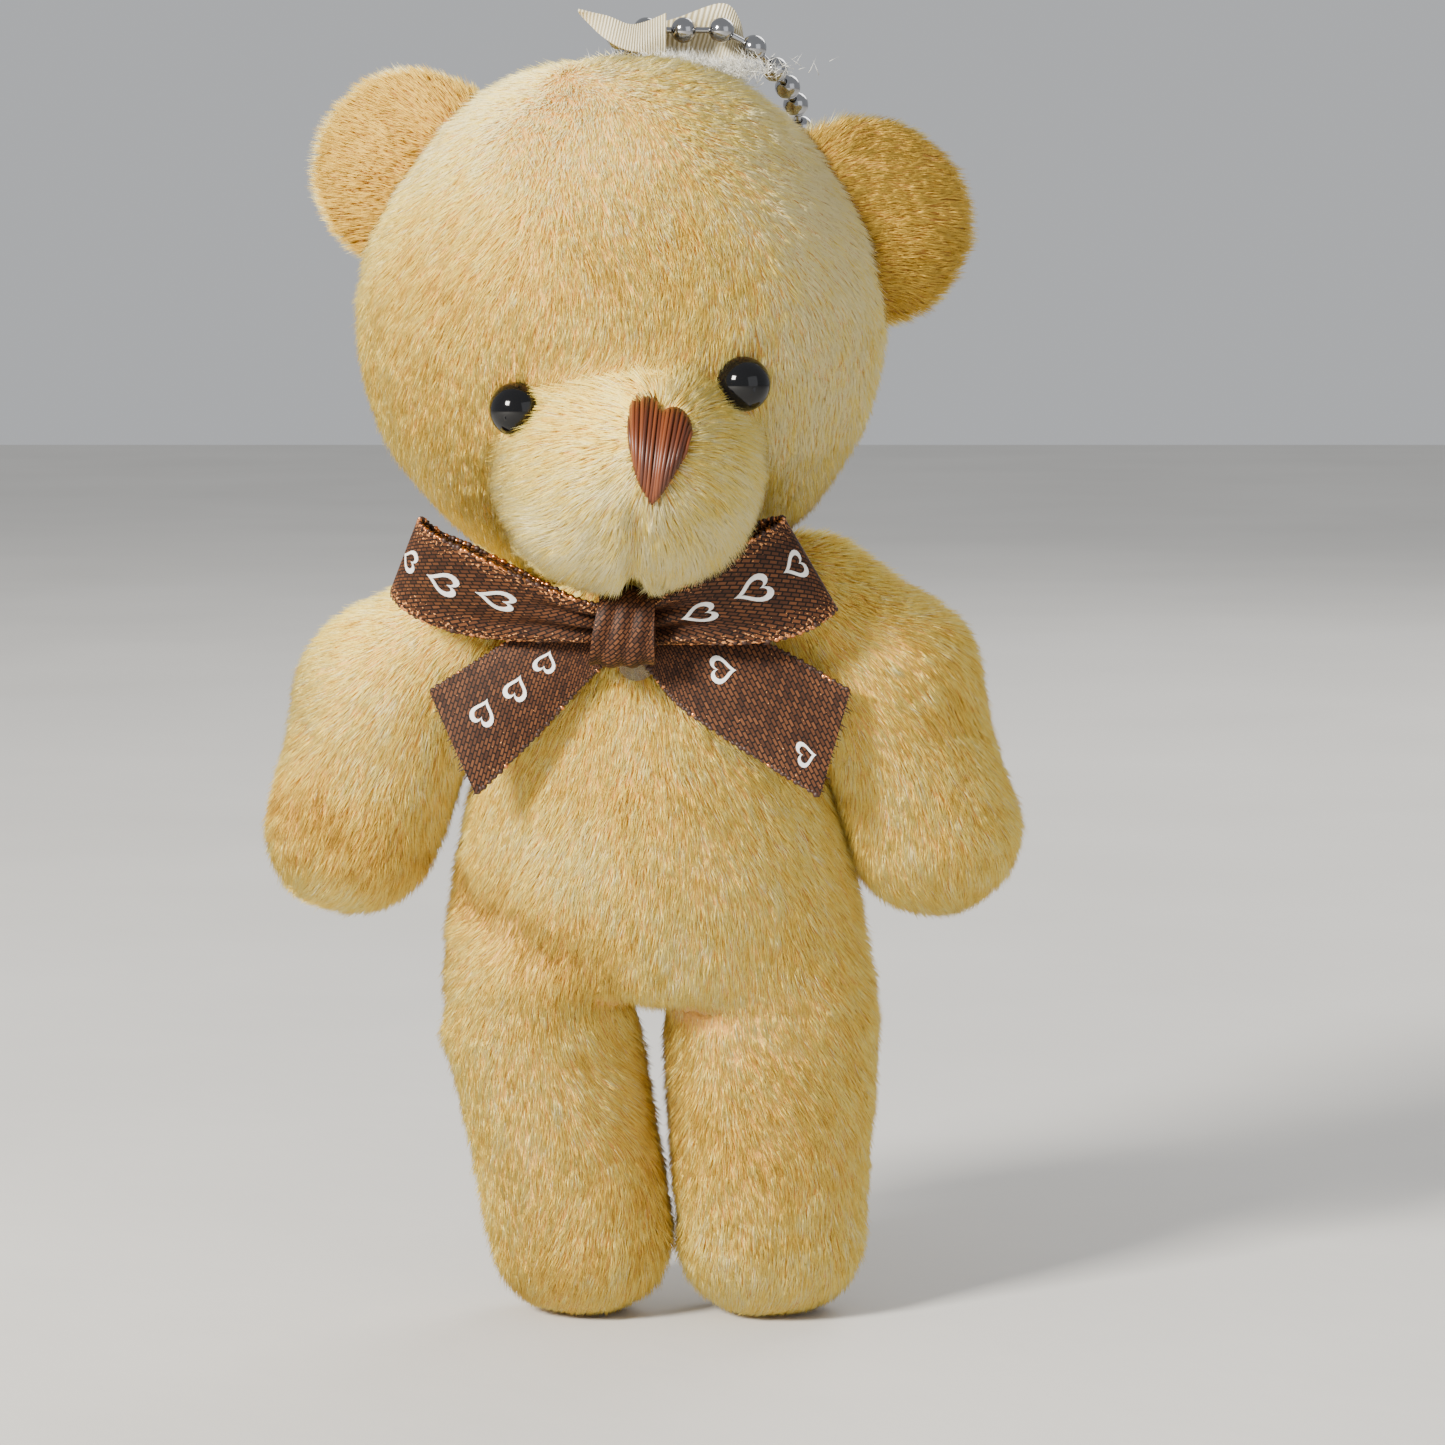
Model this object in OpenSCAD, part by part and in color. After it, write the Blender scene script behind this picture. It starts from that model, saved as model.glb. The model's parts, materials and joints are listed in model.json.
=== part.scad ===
// Plush teddy bear keychain: a short-pile bear with a ribbon bow, and a ball chain through
// a ribbon tab on top of its head. Millimetres, +Z up, the bear faces -Y and stands on Z = 0.

/* [Head] */
// Radius of the seam that runs round the side of the head
head_seam_r = 24.4; // [23.4:0.1:25]
// How far the head reaches in front of its seam, and behind it
head_half_depth = 19.9; // [18.5:0.1:21]
// Height of the middle of the head
head_z = 93.2; // [93:0.1:94]
// Sideways lean of the head off the body's middle
head_x = -1.7; // [-2:0.1:0]
// Radius of each of the two lobes of the muzzle
muzzle_lobe_r = 10.5; // [9.5:0.1:10.8]
// Diameter of the glass bead eyes
eye_d = 5; // [4:0.1:6]
// Radius of the ears
ear_r = 9.8; // [8:0.1:10.5]

/* [Body] */
// Thickness of a plush panel: its backing with the short pile on it
skin_t = 1.6; // [1.2:0.1:2]
// Half depth of the belly
belly_r = 12.7; // [11.5:0.1:13]
// Half width of the belly
belly_w = 19.4; // [18:0.1:20]
// Radius of the legs at the hip
hip_r = 9.6; // [9:0.1:9.8]
// Radius of the feet
foot_r = 8.4; // [7.5:0.1:8.6]
// Radius of the arms at the shoulder
shoulder_r = 6.6; // [6:0.1:7]
// Radius of the paws
paw_r = 7.9; // [7:0.1:8.2]

/* [Ribbon] */
// Width of the bow's ribbon
ribbon_w = 10; // [8:0.5:11]
// Thickness of the bow's ribbon
ribbon_t = 0.4; // [0.3:0.05:0.6]
// Thickness of the tab's satin ribbon
tab_t = 0.3; // [0.2:0.05:0.4]

/* [Ball chain] */
// Diameter of the balls
ball_d = 2.4; // [2:0.1:2.4]
// Diameter of the wire links between the balls
wire_d = 0.6; // [0.5:0.05:0.6]
// Distance between the two runs of the chain loop
run_gap = 7; // [7:0.1:7.4]

/* [Hidden] */

$fn = 64;
LEFT = -1;
RIGHT = 1;
seat = 0.3;      // room between a limb's round top and the body round it
inner_gap = 0.1; // room between a panel and what lies behind it
far = 80;        // longer than the bear is wide
mid_y = 2.7;     // the bear reaches this much further in front of its seams than behind, halved

golden = [0.93, 0.76, 0.48];
amber = [0.86, 0.64, 0.36];
white_fibre = [0.95, 0.95, 0.93];
satin_brown = [0.30, 0.17, 0.10];

// The head is two domes that meet in a round seam, each a piece of a large sphere.
dome_r = (pow(head_seam_r, 2) + pow(head_half_depth, 2)) / (2 * head_half_depth);
dome_shift = dome_r - head_half_depth;
head_at = [head_x, 0, head_z];

// The head nods on a round stump of stuffing that stands up out of the body.
neck_at = [-0.8, 0, 70.6];
neck_ball_r = 5.4;
neck_stem_r = 4.2;

// Each ear: the angle round the seam, how far out it sits, and its size against ear_r
ear_angle = [143, 23];
ear_out = [23.6, 24.5];
ear_size = [1, 1.05];
ear_half_t = 3.4;

muzzle_at = [-0.9, -14.6, 79.65];
muzzle_lobe_x = 2.0;
nose_at = [1.9, -21.4, 84.6]; // middle of the two lobes, at the back of the stitching
nose_lobe_r = 1.8;
nose_drop = 8.2; // from the lobes' middle down to the tip
nose_lean = 13;
nose_t = 4.2;

eye_spot = [[-10.5, 86.4], [9.2, 88.6]];
eye_r = eye_d / 2;
eye_stem_r = 0.7;
eye_sink = 0.8; // from the plush up to the bead's middle
washer_r = 3;
washer_t = 0.8;

// The body's ovals from the hips up to the neck: height, half width, half depth, middle X
body_levels = [
    [27.5, 0.87 * belly_w, 0.7 * belly_r, 1.3],
    [31, 0.98 * belly_w, 0.9 * belly_r, 1.3],
    [36, belly_w, belly_r, 1.2],
    [41, 0.97 * belly_w, belly_r, 1.2],
    [46, 0.91 * belly_w, 0.97 * belly_r, 1.1],
    [51, 0.84 * belly_w, 0.91 * belly_r, 1],
    [56, 0.75 * belly_w, 0.83 * belly_r, 0.8],
    [60.5, 0.65 * belly_w, 0.72 * belly_r, 0.6],
    [64.5, 0.47 * belly_w, 0.56 * belly_r, 0.3],
    [67.5, 0.26 * belly_w, 0.34 * belly_r, 0],
];
neck_base_z = body_levels[9][0] + 0.1;
crotch_z = 29.5;
leg_forward = 30; // the legs swing this far forward, degrees
leg_back = 15;    // and this far back

hip_at = [[-9.3, 0, 27.5], [12.3, 0, 27.5]];
foot_at = [[-5.9, 0, 7], [12.5, 0, 7]];
shoulder_at = [[-17.6, 0, 60.5], [19.2, 0, 60.5]];
paw_at = [[-27.2, 0, 46.3], [27.3, 0, 46.2]];

knot_at = [-1.2, -13.6, 65.2];
knot_size = [5.4, 4.6, 7];
loop_len = 20;
loop_fat = 4.6; // depth of a loop where it is fullest
loop_tilt = 28; // how far a loop's lower edge leans in under its upper one, degrees
tail_top_z = 65;
tail_top_y = -9.9;
tail_lean = 8;  // how far a tail's end stands out in front of its top, degrees

// The chain: where the ball line through the tab lies, and the two runs down the back
ball_r = ball_d / 2;
ball_wall = 0.2;
wire_r = wire_d / 2;
link_head_r = wire_r + 0.11; // the flat head at a link's end, inside the ball
link_head_t = 0.25;
link_head_in = 0.35;         // from the ball's middle to that head
line_y = 0.8;
line_z = 120.4;
line_end_x = 7.6;
upper_run = [[10.6, 1.6, 118.8], [12.6, 3.6, 116.8], [13.8, 6.6, 115.2]];
upper_left = [[-1.9, 3, 119.8], [-1.2, 6, 118.5], [1.6, 7.9, 117], [4.8, 8.8, 115.5]];
middle_run = [[14.6, 9.6, 113.6], [15.1, 12.3, 111.4], [15.4, 14.5, 108.7],
              [15.5, 16.2, 105.7], [15.5, 17.4, 102.4]];
lower_run = [[15.4, 18.7, 99.1], [16.5, 19.5, 95.8], [17.6, 20.1, 92.5],
             [18.4, 20.1, 89.1], [18.8, 20.1, 85.6]];
loop_mid_x = lower_run[0].x - run_gap / 2;
connector_at = [loop_mid_x, 20.1, 82.5];
connector_len = 7.2;
connector_r = 1.75;
connector_wall = 0.3;
slot_w = 1.6;

// ---- shared shapes ----

// Puts a piece where the box round the whole bear is centred on the origin.
module centred() {
    translate([0, mid_y, 0]) children();
}

// A dome of the head: side -1 is the front, 1 the back; grow makes it larger or smaller.
module head_dome(side, grow = 0) {
    intersection() {
        translate(head_at - [0, side * dome_shift, 0]) sphere(dome_r + grow);
        translate(head_at + [-far / 2, side > 0 ? 0 : -far, -far / 2]) cube(far);
    }
}

// The whole head's outside, larger by grow.
module head_lens(grow = 0) {
    intersection() {
        translate(head_at - [0, dome_shift, 0]) sphere(dome_r + grow);
        translate(head_at + [0, dome_shift, 0]) sphere(dome_r + grow);
    }
}

module neck_recess() {
    translate(neck_at) sphere(neck_ball_r + seat);
}

// Turns +Z to the direction d.
module aim(d) {
    rotate([0, acos(d.z / norm(d)), atan2(d.y, d.x)]) children();
}

// Turns the direction d back to +Z.
module unaim(d) {
    rotate([0, -acos(d.z / norm(d)), 0]) rotate([0, 0, -atan2(d.y, d.x)]) children();
}

// A round-ended tapered rod: radius ra at a, rb at b; shrunk by inset all round.
module tapered_limb(a, b, ra, rb, inset = 0) {
    long = norm(b - a);
    lean = asin((ra - rb) / long);
    steps = 9;
    r0 = ra - inset;
    r1 = rb - inset;
    top = [for (i = [0 : steps]) let (t = -90 + i * (90 + lean) / steps) [r0 * cos(t), r0 * sin(t)]];
    end = [for (i = [0 : steps]) let (t = lean + i * (90 - lean) / steps)
        [r1 * cos(t), long + r1 * sin(t)]];
    clean = concat([[0, -r0]], [for (i = [1 : steps]) top[i]], [for (i = [0 : steps - 1]) end[i]],
                   [[0, long + r1]]);
    translate(a) aim(b - a) rotate_extrude() polygon(clean);
}

module head_half(side) {
    difference() {
        head_dome(side);
        head_dome(side, -skin_t);
        neck_recess();
        if (side < 0) for (e = [0, 1]) eye_axis(e) translate([0, 0, -far / 4])
            cylinder(r = eye_stem_r + inner_gap, h = far / 2);
    }
}

module head_front() { color(golden) centred() head_half(-1); }
module head_back() { color(golden) centred() head_half(1); }

module head_filling() {
    color(white_fibre) centred() difference() {
        head_lens(-skin_t - inner_gap);
        neck_recess();
        for (e = [0, 1]) eye_axis(e) {
            translate([0, 0, -skin_t - washer_t - 3 * inner_gap])
                cylinder(r = washer_r + inner_gap, h = far / 4);
            translate([0, 0, -skin_t - 4]) cylinder(r = eye_stem_r + inner_gap, h = far / 4);
        }
    }
}

module muzzle_lobes(grow = 0) {
    for (side = [LEFT, RIGHT])
        translate(muzzle_at + [side * muzzle_lobe_x, 0, 0]) sphere(muzzle_lobe_r + grow);
}

module muzzle() {
    color(golden) centred() difference() {
        muzzle_lobes();
        muzzle_lobes(-skin_t);
        translate(head_at + [0, dome_shift, 0]) sphere(dome_r + inner_gap);
        for (e = [0, 1]) eye_axis(e) translate([0, 0, eye_sink]) sphere(eye_r + inner_gap);
    }
}

module muzzle_filling() {
    color(white_fibre) centred() difference() {
        muzzle_lobes(-skin_t - inner_gap);
        translate(head_at + [0, dome_shift, 0]) sphere(dome_r + 2 * inner_gap);
        for (e = [0, 1]) eye_axis(e) translate([0, 0, eye_sink]) sphere(eye_r + 2 * inner_gap);
    }
}

// Satin stitches that build up a heart, point down, over the top of the muzzle.
module nose_stitching() {
    color([0.45, 0.20, 0.10]) centred() difference() {
        translate(nose_at) rotate([90 - nose_lean, 0, 0]) linear_extrude(nose_t) {
            for (side = [LEFT, RIGHT]) translate([side * nose_lobe_r * 0.75, 0]) circle(nose_lobe_r);
            polygon([[-1.7 * nose_lobe_r, -0.5], [0, -nose_drop], [1.7 * nose_lobe_r, -0.5], [0, 0.8]]);
        }
        muzzle_lobes(inner_gap);
    }
}

// An ear is two domes like a small head, cut where it meets the head's seam. s is 0 left, 1 right.
module ear_half(s, side) {
    r = ear_r * ear_size[s];
    ball = (r * r + ear_half_t * ear_half_t) / (2 * ear_half_t);
    at = head_at + ear_out[s] * [cos(ear_angle[s]), 0, sin(ear_angle[s])];
    difference() {
        intersection() {
            translate(at - [0, side * (ball - ear_half_t), 0]) sphere(ball);
            translate(at + [-far / 2, side > 0 ? 0 : -far, -far / 2]) cube(far);
        }
        translate(head_at - [0, side * dome_shift, 0]) sphere(dome_r + inner_gap);
    }
}

module ear_front_left() { color(amber) centred() ear_half(0, -1); }
module ear_back_left() { color(golden) centred() ear_half(0, 1); }
module ear_front_right() { color(amber) centred() ear_half(1, -1); }
module ear_back_right() { color(golden) centred() ear_half(1, 1); }

// Puts its child on the plush at an eye, +Z pointing out of the face.
module eye_axis(e) {
    centre = head_at + [0, dome_shift, 0];
    dx = eye_spot[e][0] - centre.x;
    dz = eye_spot[e][1] - centre.z;
    out = [dx, -sqrt(dome_r * dome_r - dx * dx - dz * dz), dz];
    translate(centre + out) aim(out) children();
}

module eye(e) {
    color([0.03, 0.03, 0.03]) centred() {
        difference() {
            union() {
                eye_axis(e) translate([0, 0, eye_sink]) sphere(eye_r);
                eye_axis(e) translate([0, 0, -skin_t - 3]) cylinder(r = eye_stem_r, h = 3 + skin_t);
            }
            difference() {
                translate(head_at + [0, dome_shift, 0]) sphere(dome_r + inner_gap);
                eye_axis(e) translate([0, 0, -far / 4]) cylinder(r = eye_stem_r, h = far / 2);
            }
        }
    }
}

module eye_washer(e) {
    color([0.85, 0.85, 0.85]) centred() eye_axis(e) translate([0, 0, -skin_t - washer_t - 2 * inner_gap])
        difference() {
            cylinder(r = washer_r, h = washer_t);
            translate([0, 0, -1]) cylinder(r = eye_stem_r + inner_gap / 2, h = washer_t + 2);
        }
}

module eye_left() { eye(0); }
module eye_right() { eye(1); }
module eye_washer_left() { eye_washer(0); }
module eye_washer_right() { eye_washer(1); }

// The pear shape of neck, chest and belly as stacked ovals, smaller by inset all round.
module pear(inset = 0) {
    last = len(body_levels) - 1;
    for (i = [0 : last - 1]) hull() for (j = [i, i + 1]) {
        at = body_levels[j];
        up = j == 0 ? inset : j == last ? -inset : 0;
        translate([at[3], 0, at[0] + up]) linear_extrude(0.01)
            scale([at[1] - inset, at[2] - inset]) circle(1, $fn = 44);
    }
}

// The room an arm needs as it swings, in front of and behind its shoulder.
module arm_room(s) {
    along = (paw_at[s] - shoulder_at[s]) / norm(paw_at[s] - shoulder_at[s]);
    out = sign(shoulder_at[s].x);
    inward = [along.z * out, 0, -along.x * out];
    flank_a = shoulder_at[s] + (shoulder_r + seat) * inward;
    flank_b = paw_at[s] + (paw_r + seat) * inward;
    steep = (flank_a.z - flank_b.z) / abs(flank_a.x - flank_b.x);
    wide = 7;
    first_r = shoulder_at[s].z - flank_a.z;
    translate([flank_a.x, 0, shoulder_at[s].z]) rotate([0, out * 90, 0])
        cylinder(r1 = first_r, r2 = first_r + wide * steep, h = wide);
}

// Room for the limbs to move in.
module body_clearance() {
    for (s = [0, 1]) {
        translate(hip_at[s]) sphere(hip_r + seat, $fn = 44);
        translate(shoulder_at[s]) sphere(shoulder_r + seat, $fn = 44);
        arm_room(s);
    }
    translate([-far / 2, 0, hip_at[0].z]) rotate([leg_back, 0, 0]) translate([0, -1, -far]) cube(far);
    translate([-far / 2, 0, hip_at[0].z]) rotate([-leg_forward, 0, 0])
        translate([0, 1 - far, -far]) cube(far);
    translate([-far / 2, -far / 2, crotch_z - far]) cube(far);
}

module body_half(side) {
    difference() {
        pear();
        pear(skin_t);
        body_clearance();
        translate([-far / 2, side > 0 ? -far : 0, 0]) cube(far);
    }
}

module body_front() { color(golden) centred() body_half(-1); }
module body_back() { color(golden) centred() body_half(1); }

module body_filling() {
    color(white_fibre) centred() difference() {
        pear(skin_t + inner_gap);
        body_clearance();
    }
}

module neck_filling() {
    color(white_fibre) centred() difference() {
        union() {
            translate(neck_at) sphere(neck_ball_r);
            translate([neck_at.x, 0, neck_base_z]) cylinder(r = neck_stem_r, h = neck_at.z - neck_base_z);
        }
        translate([-far / 2, -far / 2, neck_base_z - far]) cube(far);
    }
}

module limb_skin(a, b, ra, rb) {
    difference() {
        tapered_limb(a, b, ra, rb);
        tapered_limb(a, b, ra, rb, skin_t);
    }
}

module arm_left() { color(golden) centred() limb_skin(shoulder_at[0], paw_at[0], shoulder_r, paw_r); }
module arm_right() { color(golden) centred() limb_skin(shoulder_at[1], paw_at[1], shoulder_r, paw_r); }

module arm_filling_left() {
    color(white_fibre) centred() tapered_limb(shoulder_at[0], paw_at[0], shoulder_r, paw_r, skin_t + inner_gap);
}

module arm_filling_right() {
    color(white_fibre) centred() tapered_limb(shoulder_at[1], paw_at[1], shoulder_r, paw_r, skin_t + inner_gap);
}

// A leg is cut flat where the foot rests on the ground.
module leg(s) {
    difference() {
        tapered_limb(hip_at[s], foot_at[s], hip_r, foot_r);
        difference() {
            tapered_limb(hip_at[s], foot_at[s], hip_r, foot_r, skin_t);
            translate([-far / 2, -far / 2, skin_t - far]) cube(far);
        }
        translate([-far / 2, -far / 2, -far]) cube(far);
    }
}

module leg_filling(s) {
    color(white_fibre) centred() difference() {
        tapered_limb(hip_at[s], foot_at[s], hip_r, foot_r, skin_t + inner_gap);
        translate([-far / 2, -far / 2, skin_t + inner_gap - far]) cube(far);
    }
}

module leg_left() { color(golden) centred() leg(0); }
module leg_right() { color(golden) centred() leg(1); }
module leg_filling_left() { leg_filling(0); }
module leg_filling_right() { leg_filling(1); }

// ---- bow ----

// Side outline of a ribbon loop: straight sides from the knot, and a round end.
module loop_outline(grow = 0) {
    end_r = loop_fat / 2;
    union() {
        translate([loop_len - end_r, 0]) circle(end_r + grow);
        polygon([[0, -0.6 - grow], [loop_len - end_r, -end_r - grow],
                 [loop_len - end_r, end_r + grow], [0, 0.6 + grow]]);
    }
}

// The muzzle rests on the loops, which are cut back to it and to the knot.
module bow_loop(turn, at) {
    color(satin_brown) centred() difference() {
        translate(at) rotate([0, turn, 0]) rotate([loop_tilt, 0, 0])
            translate([0, 0, -ribbon_w / 2]) linear_extrude(ribbon_w) difference() {
                loop_outline();
                loop_outline(-ribbon_t);
                translate([-1, -loop_fat]) square([1.4, 2 * loop_fat]);
            }
        muzzle_lobes(seat);
        translate(knot_at) cube(knot_size + 2 * [inner_gap, inner_gap, inner_gap], center = true);
    }
}

module bow_loop_left() { bow_loop(180 + 18, knot_at + [-knot_size.x / 2 - 0.1, 0.6, 0.6]); }
module bow_loop_right() { bow_loop(-16, knot_at + [knot_size.x / 2 + 0.1, 0.6, 0.4]); }

// A tail runs down and outwards from the knot over the belly, and ends in a slanted raw cut.
module bow_tail(points) {
    color(satin_brown) centred() translate([0, tail_top_y, tail_top_z]) rotate([90 - tail_lean, 0, 0])
        linear_extrude(ribbon_t) translate([0, -tail_top_z]) polygon(points);
}

module bow_tail_left() {
    bow_tail([[-3.0, 61.4], [-9.4, 64.7], [-18.7, 59], [-14.8, 49.2]]);
}

module bow_tail_right() {
    bow_tail([[0.6, 60.2], [7.8, 62.2], [19.1, 58.6], [16.6, 49]]);
}

module bow_knot() {
    color(satin_brown) centred() translate(knot_at) difference() {
        intersection() {
            cube(knot_size, center = true);
            rotate([90, 0, 90]) cylinder(r = 3.9, h = far, center = true);
        }
        rotate([90, 0, 90]) cylinder(r = 1.6, h = far, center = true);
    }
}

module bow_glue() {
    color([0.9, 0.9, 0.88, 0.6]) centred() translate([knot_at.x + 1, 0, 62.6])
        rotate([90, 0, 0]) translate([0, 0, 9.2]) cylinder(r = 1.7, h = 0.9);
}

// ---- tab and ball chain ----

// The tab is a folded satin ribbon: a tunnel for the chain, a loose end and a standing corner.
module hang_tab() {
    tunnel_r = ball_r + 0.35;
    color([0.93, 0.91, 0.84]) centred() difference() {
        union() {
            translate([-0.4, line_y, line_z]) rotate([90, 0, 90]) linear_extrude(2.8) difference() {
                union() {
                    circle(tunnel_r + tab_t);
                    translate([-tunnel_r - tab_t, -5]) square([2 * (tunnel_r + tab_t), 5]);
                }
                circle(tunnel_r);
                translate([-tunnel_r, -5]) square([2 * tunnel_r, 5]);
            }
            // the standing corner, behind the balls
            translate([0, line_y + tunnel_r + tab_t, 0]) rotate([90, 0, 0]) linear_extrude(tab_t)
                polygon([[-0.4, 116.2], [-0.4, 121.2], [8.6, 122.9], [9.2, 120.6], [8.4, 114.5]]);
            // the loose end, in front
            translate([0, line_y - tunnel_r, 0]) rotate([90, 0, 0]) linear_extrude(tab_t)
                polygon([[2.4, 116.2], [2.4, 121], [-1.5, 120.2], [-5.2, 121.6],
                         [-3.6, 118.6], [-1.5, 116.2]]);
        }
        head_dome(-1, inner_gap);
        head_dome(1, inner_gap);
    }
}

function left_of(p) = p - [run_gap, 0, 0];

// Hollow balls with a hole for the wire on each side, towards the balls before and after.
module chain_ball(at, before, after) {
    translate(at) aim(after - at) difference() {
        sphere(ball_r);
        sphere(ball_r - ball_wall);
        cylinder(r = wire_r + 0.06, h = ball_r + 1);
        unaim(after - at) aim(before - at) cylinder(r = wire_r + 0.06, h = ball_r + 1);
    }
}

// The wire from a to b, with a head inside the ball at each end. At a hinge end it has no
// head and stops just short of the ball.
module chain_link(a, b, hinge_b = false) {
    from = link_head_in;
    to = norm(b - a) - (hinge_b ? ball_r + inner_gap : link_head_in);
    plain_end = [[wire_r, to]];
    headed_end = [[wire_r, to - link_head_t], [link_head_r, to - link_head_t], [link_head_r, to]];
    outline = concat([[0, from], [link_head_r, from], [link_head_r, from + link_head_t],
                      [wire_r, from + link_head_t]], hinge_b ? plain_end : headed_end, [[0, to]]);
    translate(a) aim(b - a) rotate_extrude() polygon(outline);
}

line = [for (i = [2 : -1 : 0]) [line_end_x - i * run_gap / 2, line_y, line_z]];

// A stretch of one run as balls: prev is the point before the first, next the one after the last.
module ball_row(points, prev, next) {
    all = concat([prev], points, [next]);
    for (i = [1 : len(points)]) chain_ball(all[i], all[i - 1], all[i + 1]);
}

// The wires along one run, from start through all its points.
module link_row(points) {
    for (i = [0 : len(points) - 2]) chain_link(points[i], points[i + 1]);
}

function lefts(points) = [for (p = points) left_of(p)];

// The two runs spread evenly from the loop's middle down to the connector.
function mirrored(points) = [for (p = points) [2 * loop_mid_x - p.x, p.y, p.z]];

inner_ball_x = 1.75;
inner_balls = [for (s = [LEFT, RIGHT]) connector_at + [s * inner_ball_x, 0, 0]];
outer_balls = [for (s = [LEFT, RIGHT]) connector_at + [s * (inner_ball_x + 3.4), 0, 0]];
lower_left = mirrored(lower_run);
steel = [0.75, 0.76, 0.78];

module chain_balls_upper() {
    color(steel) centred() {
        ball_row(line, upper_left[0], upper_run[0]);
        ball_row(upper_run, line[2], middle_run[0]);
        ball_row(upper_left, line[0], left_of(middle_run[0]));
    }
}

module chain_links_upper() {
    color(steel) centred() {
        link_row(line);
        link_row(concat([line[2]], upper_run));
        link_row(concat([line[0]], upper_left));
        chain_link(upper_run[2], middle_run[0], hinge_b = true);
        chain_link(upper_left[3], left_of(middle_run[0]), hinge_b = true);
    }
}

module chain_balls_middle() {
    color(steel) centred() {
        ball_row(middle_run, upper_run[2], lower_run[0]);
        ball_row(lefts(middle_run), upper_left[3], lower_left[0]);
    }
}

module chain_links_middle() {
    color(steel) centred() {
        link_row(middle_run);
        link_row(lefts(middle_run));
        chain_link(middle_run[4], lower_run[0], hinge_b = true);
        chain_link(left_of(middle_run[4]), lower_left[0], hinge_b = true);
    }
}

module chain_balls_lower() {
    color(steel) centred() {
        ball_row(concat(lower_run, [outer_balls[1], inner_balls[1]]), middle_run[4],
                 inner_balls[1] + [1, 0, 0]);
        ball_row(concat(lower_left, [outer_balls[0], inner_balls[0]]), left_of(middle_run[4]),
                 inner_balls[0] - [1, 0, 0]);
    }
}

module chain_links_lower() {
    color(steel) centred() {
        link_row(concat(lower_run, [outer_balls[1], inner_balls[1]]));
        link_row(concat(lower_left, [outer_balls[0], inner_balls[0]]));
    }
}

// A tube of folded sheet, open along a slot, with an end wall that each last ball rests against.
module chain_connector() {
    bore_r = connector_r - connector_wall;
    color(steel) centred() translate(connector_at) rotate([0, 90, 0]) difference() {
        cylinder(r = connector_r, h = connector_len, center = true);
        cylinder(r = bore_r, h = connector_len - 2 * connector_wall, center = true);
        cylinder(r = wire_r + 0.15, h = connector_len + 2, center = true);
        translate([-far, -slot_w / 2, -connector_len / 2 + 1])
            cube([far, slot_w, connector_len - 2]);
    }
}

head_front();
head_back();
head_filling();
muzzle();
muzzle_filling();
nose_stitching();
ear_front_left();
ear_back_left();
ear_front_right();
ear_back_right();
eye_left();
eye_right();
eye_washer_left();
eye_washer_right();
body_front();
body_back();
body_filling();
neck_filling();
arm_left();
arm_right();
arm_filling_left();
arm_filling_right();
leg_left();
leg_right();
leg_filling_left();
leg_filling_right();
bow_loop_left();
bow_loop_right();
bow_tail_left();
bow_tail_right();
bow_knot();
bow_glue();
hang_tab();
chain_balls_upper();
chain_links_upper();
chain_balls_middle();
chain_links_middle();
chain_balls_lower();
chain_links_lower();
chain_connector();
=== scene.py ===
"""Looks of the plush bear keychain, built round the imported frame.

Lengths are millimetres until a mesh is made. The bear faces -Y and stands on Z = 0.
"""

import json
import math
from functools import partial
from itertools import product

import bpy
import numpy as np
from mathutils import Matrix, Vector


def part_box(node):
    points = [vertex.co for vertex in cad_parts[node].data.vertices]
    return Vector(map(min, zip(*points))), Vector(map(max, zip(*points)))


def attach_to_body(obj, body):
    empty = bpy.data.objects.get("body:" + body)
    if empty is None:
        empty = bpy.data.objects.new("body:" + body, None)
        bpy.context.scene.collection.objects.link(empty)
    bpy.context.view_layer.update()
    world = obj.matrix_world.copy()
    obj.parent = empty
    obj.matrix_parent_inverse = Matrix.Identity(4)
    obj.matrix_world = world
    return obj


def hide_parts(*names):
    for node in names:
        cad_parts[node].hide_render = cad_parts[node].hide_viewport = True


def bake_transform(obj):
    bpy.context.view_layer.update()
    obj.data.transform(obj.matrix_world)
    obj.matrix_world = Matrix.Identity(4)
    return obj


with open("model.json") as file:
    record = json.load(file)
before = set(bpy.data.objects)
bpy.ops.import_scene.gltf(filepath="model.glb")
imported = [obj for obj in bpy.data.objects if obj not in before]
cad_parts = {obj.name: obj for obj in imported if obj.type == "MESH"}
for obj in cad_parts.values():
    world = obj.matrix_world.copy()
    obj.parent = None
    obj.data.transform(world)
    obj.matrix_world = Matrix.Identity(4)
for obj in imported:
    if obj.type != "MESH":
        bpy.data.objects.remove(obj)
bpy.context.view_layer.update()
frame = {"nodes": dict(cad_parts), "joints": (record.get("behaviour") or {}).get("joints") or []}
MM = 0.001
FUR_SHARE = 1.0
random = np.random.default_rng(20)


# ---- places taken from the frame ----


def span(*nodes):
    """Lowest and highest corners of some CAD nodes together, in millimetres."""
    corners = [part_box(n) for n in nodes]
    low = np.min([np.array(c[0]) for c in corners], axis=0)
    high = np.max([np.array(c[1]) for c in corners], axis=0)
    return low / MM, high / MM


def pivot(joint):
    """Where a joint's axis lies, in millimetres."""
    return np.array(next(j["pos_m"] for j in frame["joints"] if j["name"] == joint)) / MM


def spot(x, z, y=0.0):
    """A point given by its X and Z, y behind the seams."""
    return np.array([x, SEAM_Y + y, z])


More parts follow.
